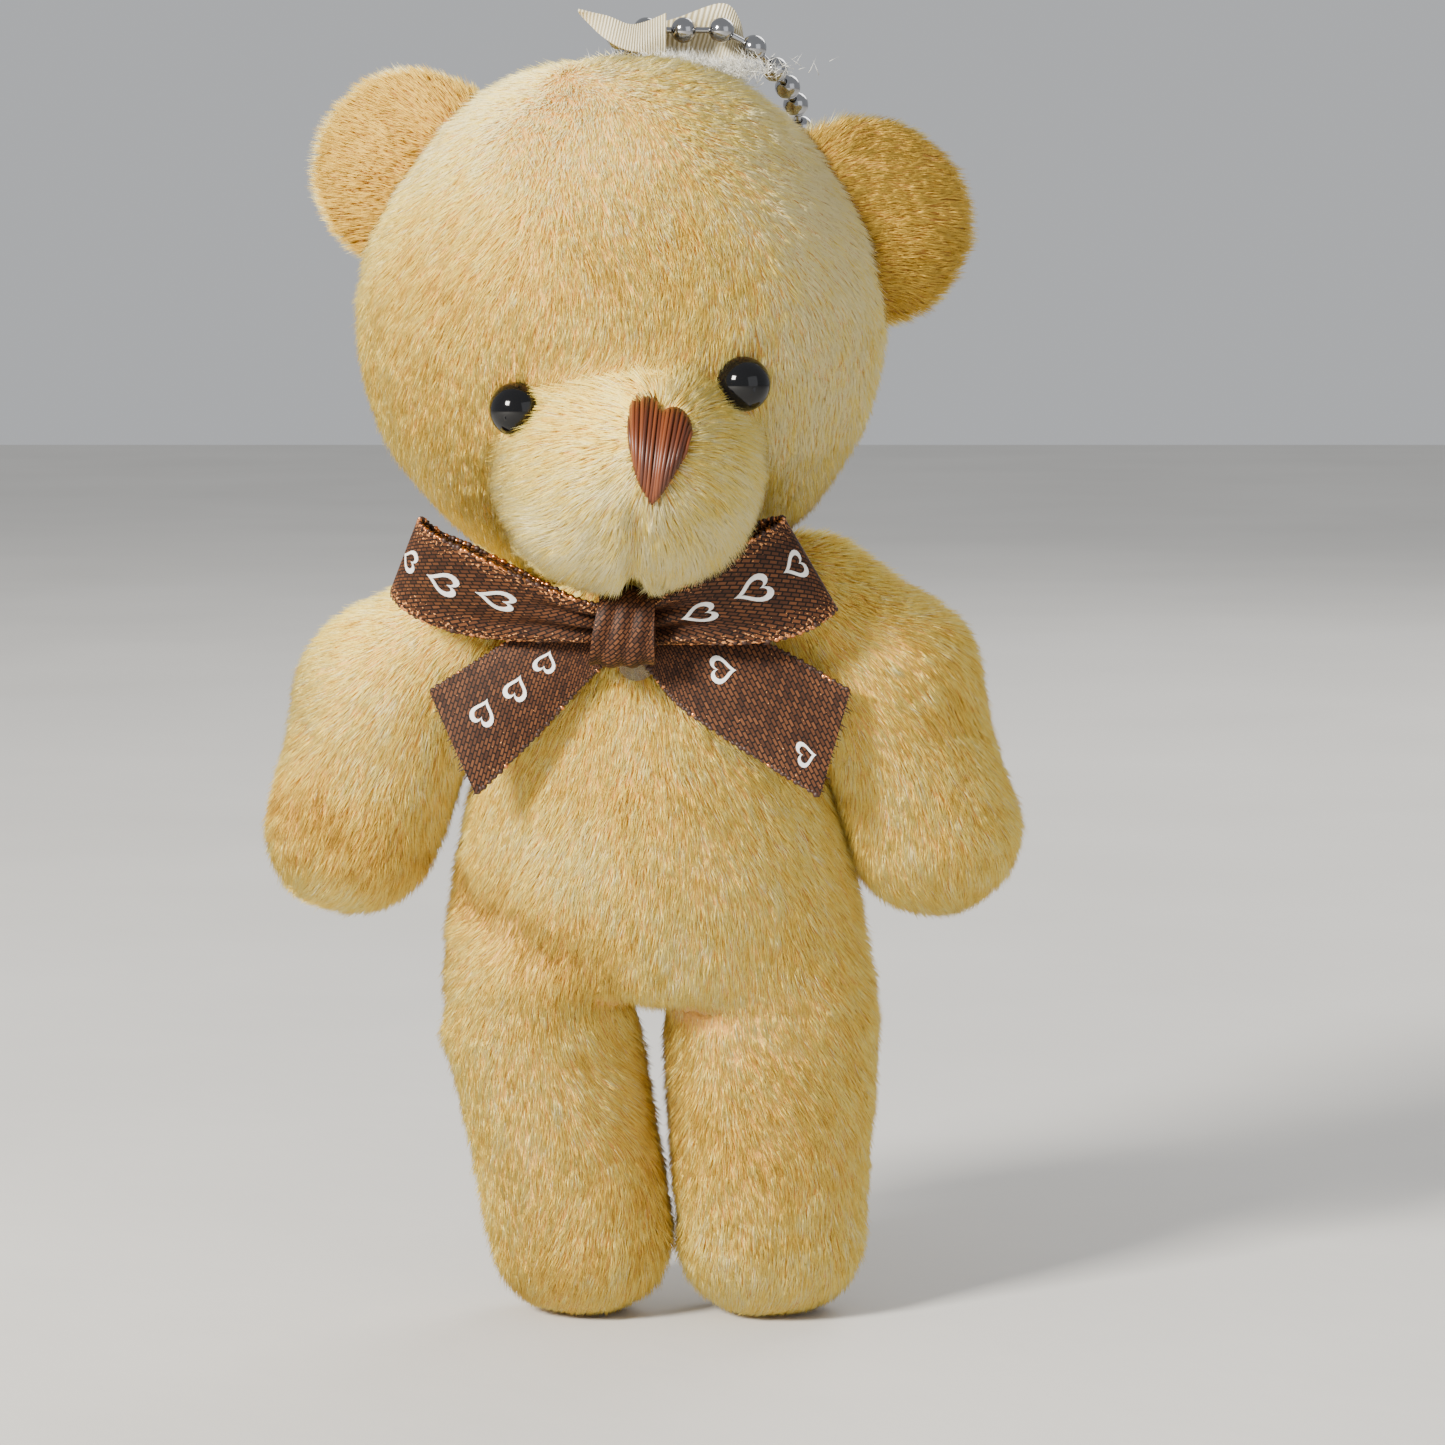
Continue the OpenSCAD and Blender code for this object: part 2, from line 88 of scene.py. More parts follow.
SEAM_Y = span("head_front")[1][1]
head_low, head_high = span("head_front", "head_back")
HEAD_R = (head_high[0] - head_low[0]) / 2
HEAD_DEPTH = SEAM_Y - head_low[1]
HEAD_AT = spot((head_low[0] + head_high[0]) / 2, head_high[2] - HEAD_R)
DOME_R = (HEAD_R**2 + HEAD_DEPTH**2) / (2 * HEAD_DEPTH)
DOME_SHIFT = np.array([0, DOME_R - HEAD_DEPTH, 0])
HIP = {"left": pivot("leg_left_swing"), "right": pivot("leg_right_swing")}
CHAIN = pivot("chain_lift")
KNOT_LOW, KNOT_HIGH = span("bow_knot")
KNOT = (KNOT_LOW + KNOT_HIGH) / 2
muzzle_low, muzzle_high = span("muzzle")
LOBE_R = (muzzle_high[2] - muzzle_low[2]) / 2 - 1.0
LOBE_X = (muzzle_high[0] - muzzle_low[0]) / 2 - LOBE_R - 1.0
MUZZLE = np.array(
    [(muzzle_low[0] + muzzle_high[0]) / 2, muzzle_low[1] + LOBE_R + 0.3, muzzle_high[2] - LOBE_R - 0.4]
)


def paw(side):
    """Middle of the round end of an arm."""
    low, high = span("arm_" + side)
    r = (high[1] - low[1]) / 2
    x = low[0] + r if side == "left" else high[0] - r
    return np.array([x, SEAM_Y, low[2] + r])


def eye(side):
    """Middle of an eye's bead: the frontmost ball of the CAD eye."""
    low, high = span("eye_" + side)
    r = (high[2] - low[2]) / 2
    x = low[0] + r if side == "left" else high[0] - r
    return np.array([x, low[1] + r, (low[2] + high[2]) / 2])


# ---- noise ----

LATTICE = np.random.default_rng(5).random((32, 32, 32, 3))
ORIGIN = 3200  # keeps lattice numbers positive


def smooth_noise(points, size, layer=0):
    """Three smooth random numbers, 0 to 1, at each point; a patch is about size wide."""
    p = points / size + ORIGIN + 9.7 * layer
    cell = np.floor(p).astype(int)
    part = p - cell
    part = part * part * (3 - 2 * part)
    total = np.zeros((len(points), 3))
    for corner in product((0, 1), repeat=3):
        at = (cell + corner) % 32
        weight = np.prod(np.where(corner, part, 1 - part), axis=1)
        total += LATTICE[tuple(at.T)] * weight[:, None]
    return total


def tufts(points, size):
    """The middle of the tuft that each point belongs to, and that tuft's three random numbers."""
    p = points / size + ORIGIN
    cell = np.floor(p).astype(int)
    best = np.full(len(points), np.inf)
    middle = np.zeros((len(points), 3))
    chance = np.zeros((len(points), 3))
    for corner in product((-1, 0, 1), repeat=3):
        at = cell + corner
        roll = LATTICE[tuple((at % 32).T)]
        place = at + roll
        away = ((place - p) ** 2).sum(1)
        nearer = away < best
        best[nearer] = away[nearer]
        middle[nearer] = place[nearer]
        chance[nearer] = roll[nearer]
    return (middle - ORIGIN) * size, chance


# ---- shapes: each gives a rough distance to a surface, negative inside ----


def unit(v):
    return v / np.maximum(np.linalg.norm(v, axis=-1, keepdims=True), 1e-9)


def soft_min(a, b, k):
    h = np.clip(0.5 + 0.5 * (b - a) / k, 0, 1)
    return b + (a - b) * h - k * h * (1 - h)


def soft_max(a, b, k):
    return -soft_min(-a, -b, k)


def step_up(x, start, end):
    """0 before start, 1 after end, smooth between."""
    t = np.clip((x - start) / (end - start), 0, 1)
    return t * t * (3 - 2 * t)


def ball(p, centre, r):
    return np.linalg.norm(p - centre, axis=1) - r


def rod(p, a, b, ra, rb):
    """A round-ended tapered rod."""
    along = b - a
    t = np.clip((p - a) @ along / (along @ along), 0, 1)
    return np.linalg.norm(p - (a + t[:, None] * along), axis=1) - (ra + (rb - ra) * t)


def lumps(p, layer):
    """How stuffing pushes the cloth out here and there."""
    return 0.55 * (smooth_noise(p, 11, layer)[:, 0] - 0.5) + 0.25 * (smooth_noise(p, 4, layer)[:, 1] - 0.5)


def seam_pull(p, width=0.9, depth=0.45):
    """The side seams draw the cloth in along the plane between front and back."""
    return depth * np.exp(-(((p[:, 1] - SEAM_Y) / width) ** 2))


def head_shape(p):
    front = ball(p, HEAD_AT + DOME_SHIFT, DOME_R)
    back = ball(p, HEAD_AT - DOME_SHIFT, DOME_R)
    crown = 0.8 * step_up(p[:, 2], HEAD_AT[2] + 12, HEAD_AT[2] + 24)
    return soft_max(front, back, 2.2) - 0.15 - crown + seam_pull(p) - lumps(p, 1)


def muzzle_shape(p):
    """Two lobes with a cleft that runs down from the nose."""
    lobes = [ball(p, MUZZLE + [s * LOBE_X, 0, 0], LOBE_R) for s in (-1, 1)]
    from_cleft = p[:, 0] - MUZZLE[0] - 1.2 - 0.08 * (p[:, 2] - MUZZLE[2])
    cleft = np.exp(-((from_cleft / 1.1) ** 2)) * step_up(MUZZLE[2] - p[:, 2], 0, 3)
    return soft_min(*lobes, 3) + 0.75 * cleft - 0.6 * lumps(p, 2)


def face_shape(p):
    bridge = 2 + 2 * step_up(p[:, 2] - MUZZLE[2], 0, 8)
    return soft_min(head_shape(p), muzzle_shape(p), bridge)


EARS = {"left": (143, 23.4, 9.6), "right": (23, 24.4, 10.1)}  # degrees round the head, middle, radius
EAR_HALF_T = 3.3


def ear_middle(side):
    degrees, out, _ = EARS[side]
    turn = math.radians(degrees)
    return HEAD_AT + out * np.array([math.cos(turn), 0, math.sin(turn)])


def ear_shape(side):
    """A padded disc, a little dished in front."""
    r = EARS[side][2]
    dome = (r * r + EAR_HALF_T**2) / (2 * EAR_HALF_T)
    middle = ear_middle(side)
    back_off = np.array([0, dome - EAR_HALF_T, 0])

    def shape(p):
        disc = soft_max(ball(p, middle + back_off, dome), ball(p, middle - back_off, dome), 1.6)
        q = p - middle
        dish = 1.5 * np.exp(-(q[:, 0] ** 2 + q[:, 2] ** 2) / (0.42 * r) ** 2) * (q[:, 1] < 0)
        return disc - 0.2 + dish + seam_pull(p, 0.6, 0.3) - 0.5 * lumps(p, 3)

    return shape


# Height, half width, half depth and middle X of the body's ovals, from under the crotch up to the neck
BODY_LEVELS = np.array([
    (22, 9, 5, 1.3),
    (27.5, 17.3, 9.3, 1.3),
    (31, 19.2, 11.3, 1.3),
    (36, 19.5, 12.5, 1.2),
    (41, 18.8, 12.7, 1.2),
    (46, 17.6, 12.3, 1.1),
    (51, 16.3, 11.6, 1.0),
    (56, 15.0, 10.6, 0.8),
    (60.5, 13.8, 9.4, 0.6),
    (64.5, 11.6, 7.8, 0.3),
    (68.5, 7.6, 6.2, -0.3),
    (72, 4.6, 4.6, -0.8),
])
CROTCH_Z = 29.5
HIP_FOLD_Z = 33.5  # a crease that runs up from between the legs to the left hip
ARM = {  # two places inside each arm above the paw, with the arm's radius there
    "left": [((-15.0, 64.6), 7.4), ((-23.0, 58.6), 8.3)],
    "right": [((15.6, 66.2), 7.4), ((22.9, 59.8), 8.3)],
}
PAW_R = 7.8
FOOT = {"left": (spot(-5.5, 8.0), 8.9, 8.4), "right": (spot(12.1, 8.2), 9.9, 8.7)}  # ball, radii


def level(z, column):
    """One column of BODY_LEVELS at a height, rounded off between the levels."""
    rows = [np.interp(z + s, BODY_LEVELS[:, 0], BODY_LEVELS[:, column]) for s in (-2, -1, 0, 1, 2)]
    return sum(rows) / len(rows)


def pear_shape(p):
    z = p[:, 2]
    x = p[:, 0] - level(z, 3)
    y = p[:, 1] - SEAM_Y
    w, d = level(z, 1), level(z, 2)
    round_off = np.sqrt((x / w) ** 2 + (y / d) ** 2)
    slope = np.sqrt((x / w**2) ** 2 + (y / d**2) ** 2)
    side = np.maximum(round_off * (round_off - 1) / np.maximum(slope, 1e-6), -d)
    return soft_max(soft_max(side, CROTCH_Z + 1.6 - z, 2.5), z - 71, 2)


def arm_shape(side):
    (upper, upper_r), (elbow, elbow_r) = ARM[side]
    upper, elbow, end = spot(*upper), spot(*elbow), paw(side)

    def shape(p):
        bent = soft_min(rod(p, upper, elbow, upper_r, elbow_r), rod(p, elbow, end, elbow_r, PAW_R), 2)
        return bent + seam_pull(p, 0.7, 0.35) - lumps(p, 4)

    return shape


def leg_shape(side, p):
    foot, hip_r, foot_r = FOOT[side]
    sole = 0.15 - p[:, 2]
    return soft_max(rod(p, HIP[side], foot, hip_r, foot_r), sole, 1.2)


def body_shape(p):
    """Torso, shoulders and both legs in one skin."""
    torso = pear_shape(p)
    for side in ARM:
        (upper, upper_r), _ = ARM[side]
        torso = soft_min(torso, ball(p, spot(*upper), upper_r - 0.5), 4)
    legs = soft_min(leg_shape("left", p), leg_shape("right", p), 0.5)
    front = step_up(SEAM_Y - p[:, 1], 0, 4)
    fold = p[:, 2] - HIP_FOLD_Z - 0.5 * (-4 - p[:, 0])
    hip_fold = 1.1 * np.exp(-((fold / 2.8) ** 2)) * step_up(-p[:, 0], -2, 5) * front
    return soft_min(torso, legs, 3.5) + seam_pull(p, 0.8, 0.4) + hip_fold - lumps(p, 5)


# ---- meshes of those shapes ----


def slope_of(shape, p, h=0.05):
    """Which way each point's distance grows, not scaled."""
    moves = np.eye(3) * h
    return np.stack([(shape(p + m) - shape(p - m)) / (2 * h) for m in moves], axis=1)


def settle(shape, p, passes=3):
    """Moves points on to the surface."""
    for _ in range(passes):
        slope = slope_of(shape, p)
        move = shape(p) / np.maximum((slope**2).sum(1), 0.1)
        p = p - slope * np.clip(move, -0.8, 0.8)[:, None]
    return p


def skin_mesh(shape, low, high, step=0.8, relax=6):
    """Quads over the surface where shape is 0 inside a box: points and corner numbers."""
    axes = [np.arange(a, b + step, step) for a, b in zip(low, high, strict=True)]
    grid = np.stack(np.meshgrid(*axes, indexing="ij"), -1)
    size = grid.shape[:3]
    inside = (shape(grid.reshape(-1, 3)) < 0).reshape(size)
    cells = [n - 1 for n in size]
    count = sum(
        inside[i : i + cells[0], j : j + cells[1], k : k + cells[2]].astype(int)
        for i, j, k in product((0, 1), repeat=3)
    )
    mixed = (count > 0) & (count < 8)
    number = np.full(cells, -1)
    number[mixed] = np.arange(mixed.sum())
    points = grid[:-1, :-1, :-1][mixed] + step / 2
    quads = []
    one = np.eye(3, dtype=int)
    for axis in range(3):
        u, v = (axis + 1) % 3, (axis + 2) % 3
        first = inside.take(range(size[axis] - 1), axis)
        last = inside.take(range(1, size[axis]), axis)
        edge = np.argwhere(first != last)
        across = edge[:, [u, v]]
        edge = edge[((across > 0) & (across < [cells[u], cells[v]])).all(1)]
        round_edge = [edge - du * one[u] - dv * one[v] for du, dv in ((1, 1), (0, 1), (0, 0), (1, 0))]
        quad = np.stack([number[tuple(at.T)] for at in round_edge], 1)
        turned = ~inside[tuple(edge.T)]
        quad[turned] = quad[turned][:, ::-1]
        quads.append(quad)
    quads = np.concatenate(quads)
    points = settle(shape, points)
    for _ in range(relax):
        total, share = np.zeros_like(points), np.zeros(len(points))
        for i in range(4):
            a, b = quads[:, i], quads[:, (i + 1) % 4]
            np.add.at(total, a, points[b])
            np.add.at(share, a, 1)
        points = settle(shape, 0.5 * points + 0.5 * total / np.maximum(share, 1)[:, None], 1)
    return points, quads


def with_thickness(shape, points, quads, thick=0.8):
    """A closed panel: the quads, the same surface thick further in, and a rim."""
    used, quads = np.unique(quads, return_inverse=True)
    points, quads = points[used], quads.reshape(-1, 4)
    inner = points - unit(slope_of(shape, points)) * thick
    n = len(points)
    ends = np.concatenate([quads[:, [i, (i + 1) % 4]] for i in range(4)])
    key = np.sort(ends, 1) @ np.array([n, 1])
    _, where, times = np.unique(key, return_index=True, return_counts=True)
    rim = ends[where[times == 1]]
    rim_quads = np.stack([rim[:, 1], rim[:, 0], rim[:, 0] + n, rim[:, 1] + n], 1)
    return np.concatenate([points, inner]), np.concatenate([quads, quads[:, ::-1] + n, rim_quads])


def new_object(name, points, faces, materials, shade=None, smooth=True, uv=None):
    """A mesh object from millimetre points and rows of corners, all rows the same length."""
    mesh = bpy.data.meshes.new(name)
    sides = faces.shape[1]
    mesh.vertices.add(len(points))
    mesh.vertices.foreach_set("co", (points * MM).astype(np.float32).ravel())
    mesh.loops.add(faces.size)
    mesh.loops.foreach_set("vertex_index", faces.astype(np.int32).ravel())
    mesh.polygons.add(len(faces))
    mesh.polygons.foreach_set("loop_start", np.arange(0, faces.size, sides, dtype=np.int32))
    mesh.polygons.foreach_set("use_smooth", np.full(len(faces), smooth))
    for m in materials:
        mesh.materials.append(m)
    if shade is not None:
        mesh.polygons.foreach_set("material_index", shade.astype(np.int32))
    if uv is not None:
        layer = mesh.uv_layers.new(name="weave")
        layer.data.foreach_set("uv", uv[faces.ravel()].astype(np.float32).ravel())
    mesh.update(calc_edges=True)
    mesh.validate()
    ob = bpy.data.objects.new(name, mesh)
    bpy.context.scene.collection.objects.link(ob)
    return ob


def attach(ob, slot, body, nodes=(), bend=None):
    """Puts a piece in place of its CAD nodes, which it hides, and on a body; given a bend, its place is
    baked in and it stays on no body.
    """
    if nodes:
        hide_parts(*nodes)
    if bend is None:
        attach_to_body(ob, body)
    else:
        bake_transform(ob)
    return ob


def spikes(base, tip):
    """Thin pointed spikes: base holds three corners for each tip. Gives points and triangles."""
    points = np.stack([*base, tip], 1).reshape(-1, 3)
    sides = np.array([[0, 1, 3], [1, 2, 3], [2, 0, 3], [0, 2, 1]])
    return points, (np.arange(len(tip))[:, None, None] * 4 + sides).reshape(-1, 3)


# ---- materials ----


def ink(r, g, b):
    """A screen colour, 0 to 255, as the linear colour that shaders take."""
    return [((c / 255) / 12.92 if c <= 10 else ((c / 255 + 0.055) / 1.055) ** 2.4) for c in (r, g, b)] + [1]


def plain(name, colour, **sockets):
    """A Principled material with constants on its sockets, given by their names with _ for spaces."""
    material = bpy.data.materials.new(name)
    material.use_nodes = True
    shader = material.node_tree.nodes["Principled BSDF"]
    shader.inputs["Base Color"].default_value = colour
    for socket, value in sockets.items():
        shader.inputs[socket.replace("_", " ")].default_value = value
    material.diffuse_color = colour
    return material


def add(material, kind, links=(), **values):
    """Adds a node; links are (input, output socket) and values are input or node settings."""
    node = material.node_tree.nodes.new("ShaderNode" + kind)
    for name, value in values.items():
        key = name.replace("_", " ")
        if key in node.inputs:
            node.inputs[key].default_value = value
        else:
            setattr(node, name, value)
    for name, output in links:
        material.node_tree.links.new(output, node.inputs[name])
    return node


def to_shader(material, socket, output):
    shader = material.node_tree.nodes["Principled BSDF"]
    material.node_tree.links.new(output, shader.inputs[socket])


def ramp(material, factor, *stops):
    """Colours along a factor, from two stops of (place, colour)."""
    node = add(material, "ValToRGB", [("Fac", factor)])
    for element, (place, colour) in zip(node.color_ramp.elements, stops, strict=True):
        element.position = place
        element.color = colour
    return node.outputs["Color"]


def bump(material, height, distance, strength=1.0):
    node = add(material, "Bump", [("Height", height)], Distance=distance, Strength=strength)
    to_shader(material, "Normal", node.outputs["Normal"])


def noise(material, scale, detail):
    """Smooth noise over the object."""
    at = add(material, "TexCoord").outputs["Object"]
    return add(material, "TexNoise", [("Vector", at)], Scale=scale, Detail=detail).outputs["Fac"]


def patchy(name, dark, light, scale, roughness, bump_by, **sockets):
    """A material that wanders between two colours, with a fine rough surface."""
    material = plain(name, light, Roughness=roughness, **sockets)
    broad = noise(material, scale, 5.0)
    to_shader(material, "Base Color", ramp(material, broad, (0.3, dark), (0.7, light)))
    bump(material, noise(material, scale * 12, 3.0), bump_by)
    return material


def smeared(material, scale, detail, low, high):
    """Lets a glossy material's roughness wander between two values."""
    smear = noise(material, scale, detail)
    rough = add(material, "MapRange", [("Value", smear)], To_Min=low, To_Max=high)
    to_shader(material, "Roughness", rough.outputs["Result"])


def cloth(name, dark, light):
    """The backing that the pile grows on."""
    return patchy(name, ink(*dark), ink(*light), 160, 0.9, 0.0003, Sheen_Weight=0.2)


backing = cloth("plush_backing", (206, 144, 56), (230, 182, 96))
ear_backing = cloth("ear_backing", (156, 104, 36), (182, 136, 54))


def pile(name, *colours):
    """Shades of one plush pile, from its deepest to its palest."""
    sheen = {"Sheen_Weight": 0.06, "Sheen_Roughness": 0.4, "Sheen_Tint": ink(255, 226, 170)}
    dull = {"Roughness": 0.56, "Specular_IOR_Level": 0.22}
    return [plain(f"{name}_{i}", ink(*c), **dull, **sheen) for i, c in enumerate(colours)]


DEEP_GOLDS = [(190, 142, 50), (220, 172, 60), (238, 197, 76), (248, 214, 92)]
PALE_GOLDS = [(251, 223, 108), (252, 231, 130), (251, 235, 154), (249, 236, 180)]
EAR_GOLDS = [(140, 98, 28), (172, 128, 34), (192, 148, 42), (206, 164, 56), (218, 180, 74)]
PLUSH = pile("plush", *DEEP_GOLDS, *PALE_GOLDS)
EAR_PLUSH = pile("plush_ear", *EAR_GOLDS)
GOLDEN = {"shades": PLUSH, "slot": "plush"}


# ---- fur ----


def scatter(points, quads, how_many):
    """Random points spread evenly over quads."""
    triangles = np.concatenate([quads[:, [0, 1, 2]], quads[:, [0, 2, 3]]])
    a, b, c = (points[triangles[:, i]] for i in range(3))
    area = np.linalg.norm(np.cross(b - a, c - a), axis=1) / 2
    chosen = random.choice(len(triangles), how_many, p=area / area.sum())
    s, t = random.random((2, how_many, 1))
    flip = (s + t > 1)[:, 0]
    s[flip], t[flip] = 1 - s[flip], 1 - t[flip]
    return a[chosen] + s * (b - a)[chosen] + t * (c - a)[chosen]


def area_of(points, quads):
    a, b, c, d = (points[quads[:, i]] for i in range(4))
    return np.linalg.norm(np.cross(c - a, d - b), axis=1).sum() / 2


def downwards(p, normal):
    """The pile is brushed down, with swirls."""
    swirl = smooth_noise(p, 13, 6) - 0.5
    return np.array([0, 0, -1.0]) + swirl * [1.5, 1.5, 0.5]


MOST_STRANDS = 49_500  # keeps each piece under 200,000 triangles, four to a strand
STRAND_WIDTH = 0.12 / math.sqrt(FUR_SHARE)
ROOT_DEPTH = 0.2  # how far a strand starts under the skin


def painted_shade(p):
    """Painted shade on the front of the pile, 0 to 1: in the crease up to the left hip, across the belly
    under the bow, on the left brow and between the legs.
    """
    fold = (p[:, 2] - HIP_FOLD_Z - 1.5 - 0.5 * (-4 - p[:, 0])) / 4.5
    hip = np.exp(-(fold**2)) * step_up(-p[:, 0], -4, 6) * (p[:, 2] < 60)
    band = np.exp(-(((p[:, 2] - 50.5) / 2.6) ** 2) - ((p[:, 0] + 7) / 8) ** 2)
    brow = np.exp(-((np.linalg.norm((p - HEAD_AT - [-19, -10, -4]), axis=1) / 11) ** 2))
    inner = np.exp(-(((p[:, 0] - 2) / 3) ** 2)) * (p[:, 2] < CROTCH_Z)
    return np.clip(hip + 0.7 * band + 0.4 * brow + 0.8 * inner, 0, 1) * (p[:, 1] < SEAM_Y)


def painted_light_and_pale_snout(p):
    """Painted light on the pile: paler on the crown and the upper right of the head as a painted sheen, and
    on the lit left cheek; also paler round the nose.
    """
    crown = step_up(p[:, 2], HEAD_AT[2] + 4, HEAD_AT[2] + 17)
    crown += 0.7 * step_up(p[:, 0], 4, 16) * (p[:, 2] > 75)
    snout = 0.65 * np.exp(-((np.linalg.norm(p - MUZZLE - [0, -5, -6], axis=1) / 14) ** 2))
    cheek = 0.6 * np.exp(-((np.linalg.norm(p - HEAD_AT - [-24, -6, -12], axis=1) / 10) ** 2))
    return np.clip(0.8 * crown + snout + cheek, 0, 1)


def fur(name, body, skin, quads, density, length, nap, **look):
    """Pile as short pointed strands, so many a square millimetre. skin is a shape and its points."""
    how_many = int(area_of(skin[1], quads) * (density * FUR_SHARE))
    pieces = math.ceil(how_many / MOST_STRANDS)
    for i in range(pieces):
        part = f"{name}_{i}" if pieces > 1 else name
        strands(part, body, skin, quads, how_many // pieces, length, nap, **look)


def brushed(skin, quads, how_many, length, nap, lean):
    """Roots and tips of so many strands, the skin's slope there and their tufts' random numbers."""
    shape, points = skin
    root = settle(shape, scatter(points, quads, how_many), 1)
    normal = unit(slope_of(shape, root))
    lie = nap(root, normal)
    lie = unit(lie - (lie * normal).sum(1)[:, None] * normal)
    middle, chance = tufts(root, 1.0)
    fine = smooth_noise(root, 2.0, 8) - 0.5
    wide = smooth_noise(root, 8, 9) - 0.5
    stand = math.radians(90 - lean) * (1 + 0.9 * wide[:, :1] + 0.25 * (chance[:, :1] - 0.5))
    stray = random.normal(0, 0.09, (how_many, 3))
    way = unit(lie * np.cos(stand) + normal * np.sin(stand) + 0.26 * fine + 0.12 * (chance - 0.5) + stray)
    near_floor = 0.45 + 0.55 * step_up(root[:, 2:], 0, 5)
    uneven = 0.8 + 0.35 * random.random((how_many, 1)) + 0.25 * (chance[:, 1:2] - 0.5)
    tip = root + way * (length * near_floor * uneven)
    gather = middle - root
    gather -= (gather * normal).sum(1)[:, None] * normal
    tip += gather * 0.15
    sunk = ((tip - root) * normal).sum(1) < 0.15
    tip[sunk] += normal[sunk] * 0.3
    tip[:, 2] = np.maximum(tip[:, 2], 0.03)
    return root, tip, normal, chance


def tone_of(root, chance, pale):
    """How pale each strand is, 0 to 1: darker under painted shade and paler under painted light; broad
    patches, tufts and single strands differ.
    """
    cloud = smooth_noise(root, 14, 11)[:, 0] - 0.5
    tone = pale + 0.07 - 0.3 * painted_shade(root) + 0.24 * painted_light_and_pale_snout(root) + 0.4 * cloud
    tone += 0.28 * (chance[:, 2] - 0.5) + random.normal(0, 0.15, len(root))
    return tone


def strands(
    name, body, skin, quads, how_many, length, nap, shades, slot, pale=0.5, lean=70, keep=None, bend=None
):
    """One piece of pile. lean is degrees from upright, keep(roots) says which strands stay.
"""
    root, tip, normal, chance = brushed(skin, quads, how_many, length, nap, lean)
    if keep is not None:
        kept = keep(root)
        root, tip, normal, chance = root[kept], tip[kept], normal[kept], chance[kept]
    axis = unit(tip - root)
    side = unit(np.cross(axis, random.normal(size=(len(root), 3))))
    other = np.cross(axis, side)
    base = root - normal * ROOT_DEPTH
    ring = [
        base + STRAND_WIDTH / 2 * (math.cos(turn) * side + math.sin(turn) * other)
        for turn in (0, 2 * math.pi / 3, 4 * math.pi / 3)
    ]
    points, faces = spikes(ring, tip)
    points[:, 2] = np.maximum(points[:, 2], 0.02)
    tone = tone_of(root, chance, pale)
    shade = np.clip((tone * len(shades)).astype(int), 0, len(shades) - 1)
    attach(new_object(name, points, faces, shades, np.repeat(shade, 4)), slot, body, bend=bend)


def panel(name, body, skin, quads, nodes, material=backing, slot="plush", bend=None):
    """One stuffed skin panel, which stands for its CAD nodes."""
    ob = new_object(name, *with_thickness(*skin, quads), [material])
    attach(ob, slot, body, nodes, bend)


def middles(points, quads):
    return points[quads].mean(1)


# ---- the ribbon's place on the chest, which the pile under it needs ----


def curve(points, t):
    """A smooth line through points, t from 0 to 1."""
    points = np.array(points, float)
    ends = np.concatenate([2 * points[:1] - points[1:2], points, 2 * points[-1:] - points[-2:-1]])
    t = np.clip(np.asarray(t, float), 0, 1) * (len(points) - 1)
    i = np.minimum(t.astype(int), len(points) - 2)
    f = (t - i)[..., None]
    a, b, c, d = (ends[i + k] for k in range(4))
    return 0.5 * (2 * b + (c - a) * f + (2 * a - 5 * b + 4 * c - d) * f**2 + (3 * b - a - 3 * c + d) * f**3)


# The upper and the lower edge of each tail in X and Z, from the knot to the cut end
TAIL_EDGES = {
    "left": (
        [(-3.2, 68.0), (-9.0, 66.2), (-14.2, 63.1), (-19.1, 60.0)],
        [(-2.4, 63.4), (-5.6, 60.2), (-10.0, 55.5), (-14.9, 50.8)],
    ),
    "right": (
        [(1.2, 67.2), (7.4, 66.2), (13.4, 63.5), (19.4, 60.0)],
        [(0.4, 62.9), (3.9, 58.8), (10.4, 54.4), (16.6, 50.6)],
    ),
}
TAIL_TOP = span("bow_tail_left", "bow_tail_right")[1]
TAIL_LEAN = 0.14  # how fast a tail comes forward as it goes down
TAIL_PROUD = 1.0  # how far the pile holds it off the CAD tail


def tail_point(side, u, v):
    """A point of a tail: u from knot to end, v from -1 at the lower edge to 1 at the upper."""
    upper, lower = (curve(edge, u) for edge in TAIL_EDGES[side])
    xz = lower + (upper - lower) * ((v + 1) / 2)[..., None]
    z = xz[..., 1]
    y = TAIL_TOP[1] - TAIL_PROUD - TAIL_LEAN * (TAIL_TOP[2] - z)
    wave = 0.45 * np.sin(2.6 * u + 0.9 * v + (0 if side == "left" else 1.4)) * u
    cup = 0.5 * v**2 * np.sin(math.pi * np.clip(u, 0, 1))
    return np.stack([xz[..., 0], y - wave + cup * 0.6, z], -1)


def under_tail(p):
    """True where a point of the chest lies behind one of the tails."""
    hidden = np.zeros(len(p), bool)
    for side in TAIL_EDGES:
        t = np.linspace(0, 1, 12)
        upper, lower = (curve(edge, t) for edge in TAIL_EDGES[side])
        outline = np.concatenate([upper, lower[::-1]])
        inside = np.zeros(len(p), bool)
        for a, b in zip(outline, np.roll(outline, -1, 0), strict=True):
            crosses = (a[1] > p[:, 2]) != (b[1] > p[:, 2])
            at = a[0] + (p[:, 2] - a[1]) * (b[0] - a[0]) / (b[1] - a[1] + 1e-9)
            inside ^= crosses & (p[:, 0] < at)
        hidden |= inside
    return hidden & (p[:, 1] < SEAM_Y)


# ---- head ----


